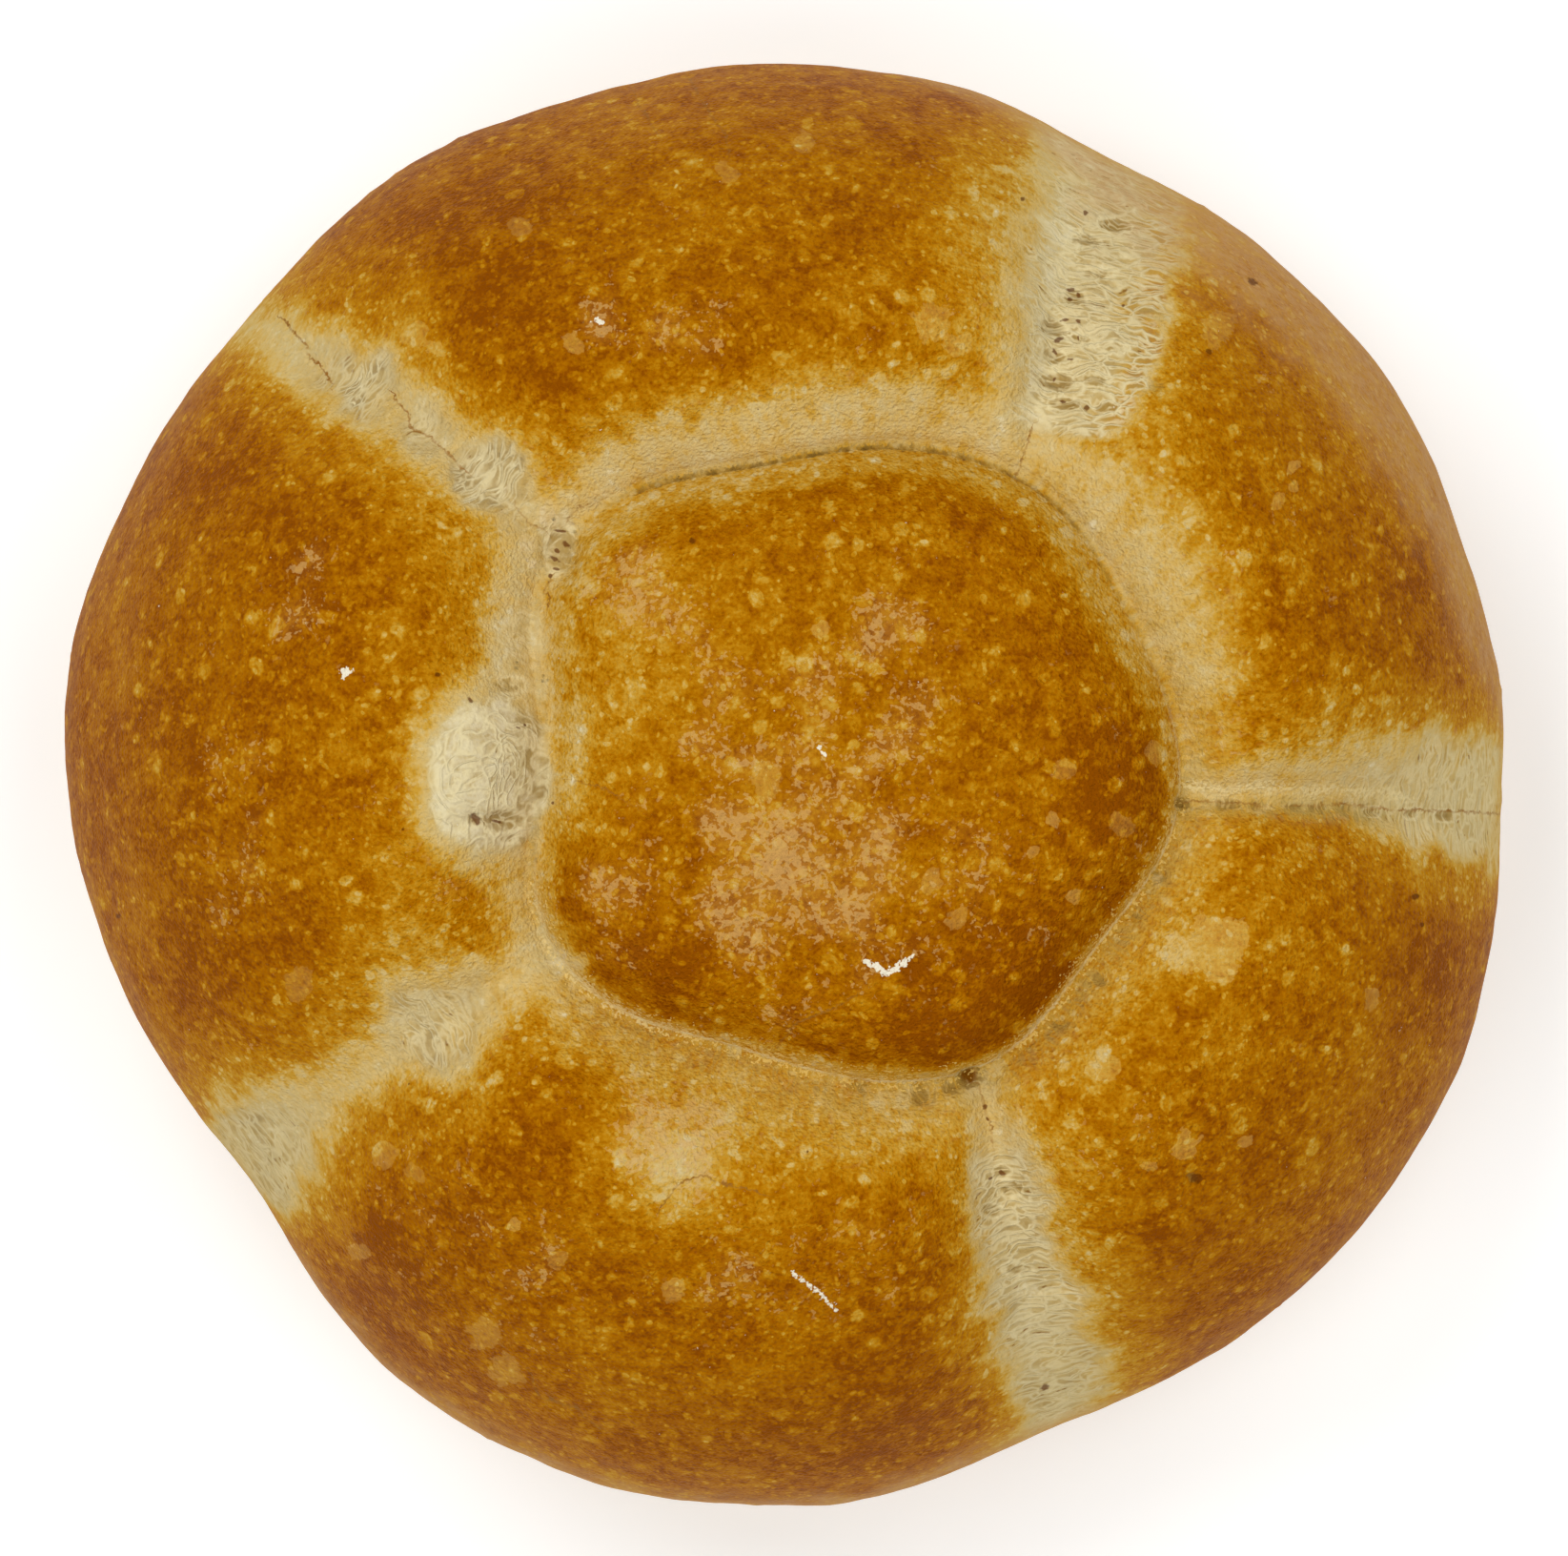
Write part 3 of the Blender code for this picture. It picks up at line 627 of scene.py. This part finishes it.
# Places where the crease's flanks and the crumb are paler or browner than elsewhere. Some are painted light
# and shade: a lighter strip on the upper seam's wall, which faces the weaker lamps, and painted shade under
# the right seam's overhanging edge.
TOUCHES = (
    (-16.4, 10.5, 1.8, -0.12), (-16.0, 6.6, 1.8, -0.12), (-15.6, 3.0, 2.2, -0.1), (-15.4, -0.6, 2.0, -0.12),
    (-38.5, -25.7, 2.6, -0.06), (18.0, -39.0, 2.4, -0.08), (-23.5, 24.0, 1.8, -0.06),
    (1.9, -24.9, 3.2, 0.07), (31.7, 12.9, 3.0, 0.05), (28.4, 38.3, 2.2, 0.07), (-32.3, 30.7, 2.0, 0.06),
    (-27.2, -18.4, 2.2, 0.05), (-14.6, -2.6, 1.6, -0.1), (-15.4, 11.2, 0.8, 0.2), (-16.0, 9.0, 0.8, 0.24),
    (-16.6, 6.8, 0.7, 0.22), (-16.8, -12.7, 1.7, -0.3), (-18.6, 9.6, 1.3, 0.1), (-18.6, 6.2, 1.3, 0.1),
    (-18.6, 2.6, 1.3, 0.1), (-20.5, 13.0, 2.5, -0.08), (18.2, 28.0, 1.5, -0.12), (18.8, 31.5, 1.5, -0.12),
    (19.4, 35.0, 1.5, -0.12), (20.2, 38.5, 1.5, -0.12), (21.0, 42.0, 1.5, -0.1), (38.0, -1.6, 2.0, 0.19),
    (42.0, -1.6, 2.0, 0.16), (-19.4, -7.8, 3.0, -0.06), (-12.0, 12.5, 4.0, -0.06), (33.0, 3.4, 4.0, 0.16),
    (43.0, 2.2, 3.0, -0.08), (15.0, 44.0, 5.0, -0.06),
)
# Flat blisters and scraps of skin with crisp edges, paler than the crust round them: x, y, reach, tone
SKINS = (
    (-18.1, 20.7, 0.9, 1.5), (-19.6, 18.3, 0.8, 1.5), (-19.2, 17.0, 0.5, 1.4), (-17.0, -12.8, 0.7, 1.4),
    (-15.5, -13.2, 0.5, 1.2), (-18.0, -11.4, 0.4, 1.4), (32.0, -12.1, 2.2, 1.15), (29.9, -12.5, 1.4, 1.15),
    (33.7, -11.2, 1.5, 1.15), (32.2, -10.9, 1.5, 1.15), (33.0, -13.6, 1.2, 1.15), (-16.1, 33.6, 0.9, 0.9),
    (-26.4, 33.2, 0.7, 0.8), (-28.0, 34.5, 0.9, 0.7), (32.7, 34.8, 1.3, 0.7), (37.3, 21.7, 0.6, 0.8),
    (38.4, 22.9, 0.5, 0.8), (38.4, 24.4, 0.4, 1.0), (20.0, -2.3, 0.7, 1.0), (44.5, -15.9, 0.7, 0.9),
    (23.9, -20.9, 1.1, 0.8), (30.2, -26.8, 1.2, 0.9), (27.5, -28.6, 0.6, 0.9), (34.6, -26.8, 0.5, 0.9),
    (2.5, 12.1, 0.7, 0.9), (-1.6, 0.7, 1.3, 0.8), (12.8, -9.6, 0.9, 0.8), (10.9, -7.1, 0.8, 0.8),
    (25.3, -2.8, 0.9, 0.6), (28.0, 2.7, 0.7, 0.8), (20.9, 1.5, 0.8, 0.6), (21.8, -8.2, 0.5, 1.0),
    (18.4, -5.0, 0.5, 0.9), (10.9, 35.3, 1.5, 0.8), (13.0, 33.4, 1.0, 0.8), (-20.5, -33.1, 0.6, 1.0),
    (-28.0, -29.0, 0.8, 0.6), (-30.6, -27.6, 0.9, 0.7), (-32.7, -35.3, 0.8, 0.8), (-17.3, -35.6, 0.8, 0.7),
    (-22.9, -41.2, 1.2, 0.8), (-21.1, -44.2, 1.3, 0.8), (-8.4, -37.9, 0.9, 0.9), (-36.8, -14.7, 1.3, 0.6),
    (-43.6, 33.6, 0.8, 0.5), (-4.5, 46.5, 0.8, 0.6), (1.5, 49.0, 0.9, 0.7), (-20.2, 42.6, 0.8, 0.6),
)
# The top of the matte band along the rim, by azimuth seen from the roll's middle
RIM_BAND = (
    (0.0, 16.0), (12.0, 31.0), (50.0, 35.0), (64.0, 31.0), (92.0, 13.0), (180.0, 12.0), (205.0, 15.0),
    (225.0, 23.0), (285.0, 25.0), (315.0, 16.0), (340.0, 13.0),
)

# Half width and points of each streak or fleck of flour
STREAKS = (
    (0.22, ((6.0, -13.1), (6.8, -13.4), (7.5, -14.0), (8.3, -13.6), (9.4, -12.7))),
    (0.2, ((0.5, -36.7), (1.7, -37.6), (2.9, -38.5), (3.7, -39.5))),
    (0.24, ((-33.4, 9.0), (-33.4, 8.6), (-33.2, 8.8))),
    (0.22, ((-14.4, 35.4), (-13.9, 35.3))),
    (0.14, ((2.3, 3.3), (2.9, 2.6))),
)


def patched(patches):
    """The patches' tones, each strongest in its middle, added up at each spot."""
    total = np.zeros(len(plan))
    for x, y, reach, tone in patches:
        gap = np.hypot(plan[:, 0] - x, plan[:, 1] - y) / reach
        total += tone * np.exp(-(gap**2)) * upper
    return total


def paint(**layers):
    """Keeps a number for each spot of the crust under each name, for its material to read."""
    for name, values in layers.items():
        layer = crust.attributes.new(name, "FLOAT", "POINT")
        layer.data.foreach_set("value", np.asarray(values, np.float32))


def paint_way(name, *columns):
    layer = crust.attributes.new(name, "FLOAT_VECTOR", "POINT")
    layer.data.foreach_set("vector", np.column_stack(columns).astype(np.float32).ravel())


clouded = sum(waves(spots / length, seed=length + 30.0) * depth for length, depth in CLOUDS)
(rim_top,) = between(RIM_BAND, roll_azimuth, period=360.0)
matte_rim = 1.0 - eased(rim_top - 5.0, rim_top + 3.0, height + 2.5 * ragged)
sides = (1.0 - eased(8.0, 20.0, height)) * eased(0.0, 5.0, height)
bake = BAKED + patched(TONES) + clouded
bake += (GOLD + 0.7 * clouded - bake) * gold * 0.8
bake += (FLANK + 0.5 * clouded - bake) * flank * 0.9
bake += (PALE + 1.0 * clouded - bake) * pale
bake += (TORN + (BURST - TORN) * burst + 0.3 * clouded - bake) * torn
# TOUCHES hold painted light on the upper seam's wall and painted shade under the right seam's edge.
bake += patched(TOUCHES) - SIDES_PALER * sides * (1.0 - pale)

flour = np.zeros(len(spots))
for reach, points in STREAKS:
    _, distance, _ = beside_line(plan, np.array(points))
    flour = np.maximum(flour, (1.0 - distance / (2.0 * reach)) * upper)

# A slow swirl, which gives the scraps, the grain and the web's cells uneven outlines: its reach in each.
SKIN_SWIRL = 0.6
GRAIN_SWIRL = 0.5
WEB_SWIRL = 0.7
swirl = np.column_stack([waves(spots / 1.5, seed=51.0 + 7.0 * axis) for axis in range(3)])
skin = np.zeros(len(spots))
skin_tone = np.zeros(len(spots))
swirled = plan + SKIN_SWIRL * swirl[:, :2]
for x, y, reach, tone in SKINS:
    nearness = 1.0 - np.hypot(swirled[:, 0] - x, swirled[:, 1] - y) / (2.0 * reach)
    nearness = (nearness + 0.1 * ragged * (nearness > 0.0)) * upper
    skin_tone[nearness > skin] = tone
    skin = np.maximum(skin, nearness)

# The web's own coordinates, in cells: along each seam and across it, round the crease and across it, and
# in rings round the burst. Its cells are stretched the way the dough was. Where two of these meet, there
# is no web.
WEB_LONG = 1.2  # cells in a millimetre along a seam and round the crease
WEB_WIDE = 0.42  # and across a seam
CREASE_WEB_WIDE = 0.45  # and across the crease
BURST_RINGS = 4.8  # cells from the burst's middle to its edge
BURST_TURN = 2.0  # and round it, each way from its middle
WEBS_APART = 60.0  # in cells, so that no two webs are alike
CREASE_WEB_START = 400.0
BURST_WEB_START = 700.0
WEB_PARTED = 2.5  # neighbours further apart than this lie in two webs

nearest = np.argmin([distance for _, distance, _ in beside], axis=0)
chosen = np.arange(len(plan))
side = np.array([side for side, _, _ in beside])[nearest, chosen]
share = np.array([share for _, _, share in beside])[nearest, chosen]
way_out = share * np.array(seam_reaches)[nearest] + RUN_DOWN * down
web = np.zeros((len(side), 3))
web[:, 0] = way_out * WEB_LONG + nearest * WEBS_APART + 0.5 * ragged
web[:, 1] = side * WEB_WIDE
round_crease = np.radians(button_azimuth) * BUTTON_REACH * WEB_LONG + CREASE_WEB_START
crease_web = np.column_stack((round_crease, past_edge * CREASE_WEB_WIDE + 0.2 * ragged))
in_crease = np.maximum(slope_pale, flank) > np.max(pale_shares, axis=0)
web[in_crease, :2] = crease_web[in_crease]
from_middle = plan - np.array((BURSTS[0].x, BURSTS[0].y)) + 1.4 * waves(spots / 4.0, seed=43.0)[:, None]
from_middle /= np.array((BURSTS[0].across, BURSTS[0].up))
rings = np.linalg.norm(from_middle, axis=1)
turned = from_middle / np.maximum(rings, 0.05)[:, None]
burst_web = np.column_stack((rings * BURST_RINGS + 0.5 * ragged + BURST_WEB_START, turned * BURST_TURN))
in_burst = pale_bursts[0] > 0.02
web[in_burst] = burst_web[in_burst]
web += WEB_SWIRL * swirl
ends = np.empty(len(crust.edges) * 2, np.int64)
crust.edges.foreach_get("vertices", ends)
ends = ends.reshape(-1, 2)
parted = np.linalg.norm(web[ends[:, 0]] - web[ends[:, 1]], axis=1) > WEB_PARTED
whole = np.ones(len(spots))
whole[ends[parted]] = 0.0

# The right seam's upper edge is a rough pale crest, and so is the button's edge at its lower left.
side, _, share = beside[RIGHT_SEAM]
crest = np.exp(-(((side + 0.7 + 0.4 * ragged) / 0.6) ** 2)) * (1.0 - eased(0.6, 0.9, share)) * outside
lower_left = eased(194.0, 204.0, button_azimuth) * (1.0 - eased(228.0, 246.0, button_azimuth))
crest = np.maximum(crest, np.exp(-(((past_edge + 0.1 + 0.4 * ragged) / 0.55) ** 2)) * lower_left)

# All that the material reads.
paint_way("grain_way", *(spots + GRAIN_SWIRL * swirl).T)
film_here = 0.02 + 0.62 * patched(FILMS) + 0.28 * waves(spots / 3.2, seed=41.0)
paint(
    crest=crest,
    bake=bake,
    torn=torn,
    pale=pale,
    open=open_crumb,
    toasted=toasted,
    hollow=np.clip(hollow, 0.0, 1.0),
    whole=whole,
    film=np.clip(film_here, 0.0, 1.0),
    shade=shade,
    rim=matte_rim,
    gold=gold,
    flour=flour,
    skin=skin,
    skin_tone=skin_tone,
    blister=blister,
    pocket=pocket,
    crack=crack_strength,
    crack_gap=crack_gap,
    crease=ring["crease"],
    fringe=ring["fringe"],
)
paint_way("web", *web.T)
paint_way("ring", ring_x, ring_y, past_edge)


# -----------------------------------------------------------------------------
# The crust's finish. One scale of colours runs from white crumb to dark brown crust. What is painted above
# says how far each spot is baked, and fine mottling, blisters and strands are added here, with painted shade
# in the pores, cells, pockets, hollows, cracks and the crease.

# Level of baking, and the colour there as it looks on a screen, from 0 to 255
BAKING_COLOURS = (
    (0.0, (222, 208, 168)),
    (0.17, (204, 181, 124)),
    (0.36, (205, 171, 96)),
    (0.5, (196, 150, 50)),
    (0.64, (185, 126, 14)),
    (0.78, (169, 104, 0)),
    (0.9, (154, 88, 0)),
    (1.0, (136, 71, 0)),
)
# What is laid over them, in the same way. The cell, pore, pocket, hole, hollow, crack and crease colours are
# painted shade, and the speck colour is partly.
FILM_COLOUR = (202, 160, 96)
RIM_COLOUR = (192, 148, 92)
CELL_SHADE_COLOUR = (164, 140, 92)
SKIN_COLOUR = (208, 170, 92)
STRAND_COLOUR = (228, 213, 166)
CREAM_COLOUR = (218, 192, 132)
GRANULE_COLOUR = (222, 186, 100)
HOLLOW_SHADE_COLOUR = (168, 142, 78)
CRACK_SHADE_COLOUR = (146, 98, 38)
PORE_SHADE_COLOUR = (164, 136, 76)
POCKET_SHADE_COLOUR = (146, 114, 50)
HOLE_SHADE_COLOUR = (122, 74, 12)
SPECK_COLOUR = (96, 46, 6)
FRINGE_COLOUR = (226, 206, 150)
FLOUR_COLOUR = (238, 230, 206)
CREASE_SHADE_COLOUR = (128, 98, 40)
GLOSS = 0.02
GLOSS_TINT = (1.0, 0.66, 0.25, 1.0)
CRUMB_ROUGHNESS = 0.75
CRUST_ROUGHNESS = 0.5
FILM_ROUGHNESS = 0.2  # added to the crust's
# Grains and cells of each pattern in a millimetre
MOTTLE_GRAINS = 0.95
FINE_GRAINS = 3.3
CURL_GRAINS = 2.1
FLAKE_GRAINS = 1.5
LARGE_DOTS = 0.55
SMALL_DOTS = 1.5
SPECKLESS = 0.975  # share of the large dots' cells that hold no stray speck
# Heights of the finest relief, in millimetres
FINE_RELIEF = 0.03
CURL_RELIEF = 0.04
WALL_RELIEF = 0.07

finish = bpy.data.materials.new("crust")
finish.use_nodes = True
nodes = finish.node_tree.nodes
links = finish.node_tree.links
shader = nodes["Principled BSDF"]


def fill(socket, value):
    """Links a socket to another, or sets its value."""
    if isinstance(value, bpy.types.NodeSocket):
        links.new(value, socket)
    else:
        socket.default_value = value


def add_node(kind, **inputs):
    """A new node, with its inputs of these names linked or set."""
    node = nodes.new("ShaderNode" + kind)
    for name, value in inputs.items():
        fill(node.inputs[name], value)
    return node


def math_node(operation, *values):
    node = add_node("Math")
    node.operation = operation
    for socket, value in zip(node.inputs, values):
        fill(socket, value)
    return node.outputs[0]


def plus(*terms):
    total = terms[0]
    for term in terms[1:]:
        total = math_node("ADD", total, term)
    return total


def times(*factors):
    product = factors[0]
    for factor in factors[1:]:
        product = math_node("MULTIPLY", product, factor)
    return product


def less(share):
    return math_node("SUBTRACT", 1.0, share)


def larger(first, second):
    return math_node("MAXIMUM", first, second)


def size_of(value):
    return math_node("ABSOLUTE", value)


def span(value, low, high, start=0.0, end=1.0):
    """The value's place between low and high, smoothly, as start to end."""
    node = add_node("MapRange")
    node.interpolation_type = "SMOOTHSTEP"
    for socket, number in zip(node.inputs, (value, low, high, start, end)):
        fill(socket, number)
    return node.outputs[0]


def painted(name, output="Fac"):
    node = add_node("Attribute")
    node.attribute_name = name
    return node.outputs[output]


def stretched(way, *scale):
    return add_node("Mapping", Vector=way, Scale=scale).outputs[0]


def grain(way, scale, detail, roughness=0.55):
    """Noise from -1 to 1 or so."""
    node = add_node("TexNoise", Vector=way, Scale=scale, Detail=detail, Roughness=roughness)
    return math_node("MULTIPLY_ADD", node.outputs["Fac"], 4.0, -2.0)


def cells(way, scale, dimensions="3D"):
    """Rounded cells: how far each spot is from its cell's middle, and three random numbers for the cell."""
    node = add_node("TexVoronoi", Vector=way, Scale=scale)
    node.voronoi_dimensions = dimensions
    chances = add_node("SeparateColor", Color=node.outputs["Color"])
    return node.outputs["Distance"], *chances.outputs


def dots(gap, chance, brightness, smallest, largest):
    """Spots in the cells, of random size and brightness. Cells whose size comes out below 0 have none."""
    size = math_node("MULTIPLY_ADD", chance, largest - smallest, smallest)
    shape = span(plus(gap, times(mottle, 0.07)), size, times(size, 0.65))
    return times(shape, math_node("GREATER_THAN", size, 0.02), plus(0.35, times(brightness, 0.65)))


def linear(screen_colour):
    """A colour as it looks on a screen, in the linear light that a shader takes."""
    shares = [value / 255.0 for value in screen_colour]
    light = [share / 12.92 if share <= 0.04045 else ((share + 0.055) / 1.055) ** 2.4 for share in shares]
    return (*light, 1.0)


def blend(share, under, over):
    """Lays a colour over what lies under it."""
    node = add_node("Mix", Factor=share)
    node.data_type = "RGBA"
    fill(node.inputs["A"], under)
    fill(node.inputs["B"], linear(over))
    return node.outputs["Result"]


place = stretched(add_node("TexCoord").outputs["Object"], 1.0 / MM, 1.0 / MM, 1.0 / MM)
pale_here = painted("pale")
ring_way = painted("ring", "Vector")
past_here = add_node("SeparateXYZ", Vector=ring_way).outputs["Z"]

# Mottling of a millimetre, fine grain, the curly wrinkles of the skin, and ragged flakes.
grain_way = painted("grain_way", "Vector")
mottle = grain(grain_way, MOTTLE_GRAINS, 2.0, 0.62)
fine = grain(place, FINE_GRAINS, 1.0)
curl = math_node("MULTIPLY_ADD", size_of(grain(place, CURL_GRAINS, 1.0)), -2.0, 1.0)
flake = grain(grain_way, FLAKE_GRAINS, 2.0, 0.62)
torn_here = span(plus(painted("torn"), times(mottle, 0.16)), 0.28, 0.58)

# Blisters, lighter than the crust, and stray scorched specks.
gap, chance, brightness, stray = cells(grain_way, LARGE_DOTS)
speck_gap = math_node("MULTIPLY_ADD", gap, 16.0, times(math_node("LESS_THAN", stray, SPECKLESS), 9.0))
large_dot = dots(gap, chance, brightness, -0.25, 0.48)
large_dot = larger(large_dot, span(plus(painted("blister"), times(mottle, 0.12)), 0.15, 0.55))
large_dot = times(large_dot, less(torn_here))
gap, chance, brightness, _ = cells(grain_way, SMALL_DOTS)
small_dot = times(dots(gap, chance, brightness, 0.05, 0.52), less(torn_here))

# The torn crumb: stretched cells with thin pale walls, soft strands, and here and there an open pore, which
# is painted shade and deepens to a painted dark hole in some.
# Streaks run down the inner slopes.
web_way = painted("web", "Vector")
edge = add_node("TexVoronoi", Vector=web_way, Scale=1.0)
edge.voronoi_dimensions = "2D"
edge.feature = "DISTANCE_TO_EDGE"
wall = times(span(edge.outputs["Distance"], 0.2, 0.0), painted("whole"))
ridge = size_of(grain(stretched(web_way, 1.15, 0.85, 1.2), 1.0, 1.0))
ridge = times(math_node("MULTIPLY_ADD", ridge, -2.0, 1.0), painted("whole"))
strand = times(span(ridge, 0.2, 0.95), torn_here)
gap, chance, _, stray = cells(web_way, 1.0, "2D")
size = plus(times(chance, 0.4), times(painted("open"), 0.16), -0.2)
pore = span(plus(gap, times(fine, 0.03)), size, times(size, 0.6))
pore = times(pore, math_node("GREATER_THAN", size, 0.03), torn_here, painted("whole"))
hole = times(span(plus(gap, times(fine, 0.08)), 0.13, 0.07), pore, math_node("GREATER_THAN", stray, 0.75))
torn_wall = times(wall, torn_here)
inner = times(less(wall), torn_here)
streak = times(grain(stretched(ring_way, 1.0, 1.0, 0.28), 1.0, 1.0), pale_here, less(torn_here))
net = times(wall, painted("gold"), less(torn_here), plus(0.5, times(mottle, 0.5)))

# The dull film, broken into ragged flakes, the matte rim, and the pale scraps of skin.
film = times(span(painted("film"), 0.2, 0.8), 0.2)
flaked = span(plus(painted("film"), times(flake, 0.48), times(fine, 0.18)), 0.44, 0.56)
flaked = times(flaked, span(painted("film"), 0.06, 0.3))
film = times(plus(film, times(flaked, 0.5)), less(pale_here))
rim = times(painted("rim"), plus(0.5, times(mottle, 0.35), times(small_dot, 0.3)))
skin_edge = span(plus(painted("skin"), times(mottle, 0.16), times(fine, 0.05)), 0.47, 0.53)
skin_edge = times(skin_edge, painted("skin_tone"), plus(0.8, times(flake, 0.35)))

level = plus(
    painted("bake"),
    times(mottle, span(pale_here, 0.0, 1.0, 0.135, 0.1)),
    times(flake, 0.04),
    times(fine, span(pale_here, 0.0, 1.0, 0.06, 0.025)),
    times(curl, span(pale_here, 0.0, 1.0, -0.07, -0.03)),
    times(large_dot, span(pale_here, 0.0, 1.0, -0.24, -0.08)),
    times(small_dot, span(pale_here, 0.0, 1.0, -0.22, -0.09)),
    times(larger(film, rim), -0.2),
    times(skin_edge, -0.16),
    times(streak, 0.08),
    times(torn_wall, painted("toasted"), -0.14),
    times(net, -0.12),
    times(painted("toasted"), plus(0.07, times(inner, 0.36))),
)
ramp = add_node("ValToRGB", Fac=level)
stops = ramp.color_ramp.elements
for index, (at, colour) in enumerate(BAKING_COLOURS):
    stop = stops[index] if index < 2 else stops.new(at)
    stop.position = at
    stop.color = linear(colour)
cream = times(span(plus(flake, times(small_dot, 0.6)), 0.1, 0.8), pale_here, less(torn_here), 0.45)
# The crumb's cells are darkened with painted shade, and the pores and holes with more of it.
colour = blend(times(painted("shade"), plus(1.0, times(mottle, 0.7))), ramp.outputs["Color"], CELL_SHADE_COLOUR)
colour = blend(times(pore, 0.5), colour, PORE_SHADE_COLOUR)
colour = blend(times(hole, 0.7), colour, HOLE_SHADE_COLOUR)
strand_share = times(plus(0.6, times(mottle, 0.3)), painted("torn"))
colour = blend(times(larger(strand, torn_wall), strand_share), colour, STRAND_COLOUR)
colour = blend(cream, colour, CREAM_COLOUR)
colour = blend(film, colour, FILM_COLOUR)
colour = blend(rim, colour, RIM_COLOUR)
colour = blend(times(skin_edge, 0.3), colour, SKIN_COLOUR)

# Painted shade in the hollow beside the crease and under the right seam's overhanging edge, and in the
# pockets, with ragged edges and strands across them.
bridged = less(times(span(ridge, 0.35, 0.9), 0.75))
hollow_here = times(painted("hollow"), plus(0.75, times(mottle, 0.5)), bridged)
colour = blend(hollow_here, colour, HOLLOW_SHADE_COLOUR)
# Painted shade in the sunk pockets, with a painted dark hole in the darkest.
pocket_edge = span(plus(painted("pocket"), times(mottle, 0.16), times(fine, 0.06)), 0.16, 0.36)
pocket_edge = times(pocket_edge, plus(0.25, times(painted("pocket"), 0.7)), bridged)
pocket_lip = plus(painted("pocket"), times(mottle, 0.1))
pocket_lip = times(span(painted("pocket"), 0.01, 0.1), span(pocket_lip, 0.28, 0.14), torn_here, 0.4)
colour = blend(pocket_lip, colour, STRAND_COLOUR)
colour = blend(pocket_edge, colour, POCKET_SHADE_COLOUR)
colour = blend(span(plus(painted("pocket"), times(mottle, 0.16)), 0.85, 1.1), colour, HOLE_SHADE_COLOUR)

# The dark line of painted shade in the crease round the button, the pale fringe on its edge, and the painted
# shade in the cracks.
wobble = times(plus(mottle, fine), 0.12)
crease = span(size_of(plus(past_here, wobble)), 0.3, 0.08)
crease = times(crease, painted("crease"), plus(0.7, times(mottle, 0.6)))
edge_line = span(size_of(plus(past_here, 0.1, times(fine, 0.1))), 0.17, 0.04)
rough = plus(fine, times(mottle, 0.5))
granule = plus(rough, span(past_here, -3.2, -0.2, -2.6, 0.3), span(past_here, 0.0, 2.2, 0.0, -2.8))
granule = times(span(granule, 0.4, 0.55), span(painted("fringe"), 0.2, 0.7, 0.0, 0.85))
crested = times(span(plus(rough, painted("crest")), 0.55, 0.85), painted("crest"), 0.6)
fringe = times(edge_line, plus(0.7, times(mottle, 0.7)), painted("fringe"))
fringe = larger(fringe, crested)
# Painted shade in each crack's slit.
crack = span(size_of(plus(painted("crack_gap"), wobble)), 0.15, 0.03)
crack = times(crack, painted("crack"), plus(0.8, times(mottle, 0.9)))
colour = blend(granule, colour, GRANULE_COLOUR)
colour = blend(fringe, colour, FRINGE_COLOUR)
colour = blend(crease, colour, CREASE_SHADE_COLOUR)
colour = blend(crack, colour, CRACK_SHADE_COLOUR)

# Dark specks and slits, scorched on the crust and painted shade in the crumb's pits, and flour.
seen_from_above = stretched(place, 1.0, 1.0, 0.0)
for mark in [Speck(*row) for row in SPECKS]:
    laid = add_node(
        "Mapping",
        Vector=seen_from_above,
        Location=(mark.x + LAYOUT_MIDDLE[0], mark.y + LAYOUT_MIDDLE[1], 0.0),
        Rotation=(0.0, 0.0, math.radians(mark.tilt)),
        Scale=(mark.reach * mark.stretch, mark.reach, 1.0),
    )
    laid.vector_type = "TEXTURE"
    reached = add_node("VectorMath", Vector=laid.outputs[0])
    reached.operation = "LENGTH"
    speck_gap = math_node("MINIMUM", speck_gap, reached.outputs["Value"])
speck = span(plus(speck_gap, times(fine, 0.35)), 1.25, 0.65)
colour = blend(times(speck, 0.8), colour, SPECK_COLOUR)
flour_here = span(plus(painted("flour"), times(fine, 0.36), times(mottle, 0.14)), 0.46, 0.62, 0.0, 0.95)
colour = blend(flour_here, colour, FLOUR_COLOUR)

# Relief finer than the mesh, in millimetres.
skin_here = less(times(painted("torn"), 0.7))
relief = plus(
    times(fine, skin_here, FINE_RELIEF),
    times(curl, skin_here, CURL_RELIEF),
    times(wall, painted("torn"), WALL_RELIEF),
)
bump = add_node("Bump", Distance=MM, Height=relief)

fill(shader.inputs["Base Color"], colour)
roughness = span(level, 0.3, 0.8, CRUMB_ROUGHNESS, CRUST_ROUGHNESS)
fill(shader.inputs["Roughness"], plus(roughness, times(film, FILM_ROUGHNESS)))
fill(shader.inputs["Normal"], bump.outputs["Normal"])
shader.inputs["Specular IOR Level"].default_value = GLOSS
shader.inputs["Specular Tint"].default_value = GLOSS_TINT

crust.materials.clear()
crust.materials.append(finish)
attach(roll, "root")
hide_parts("bread_roll")
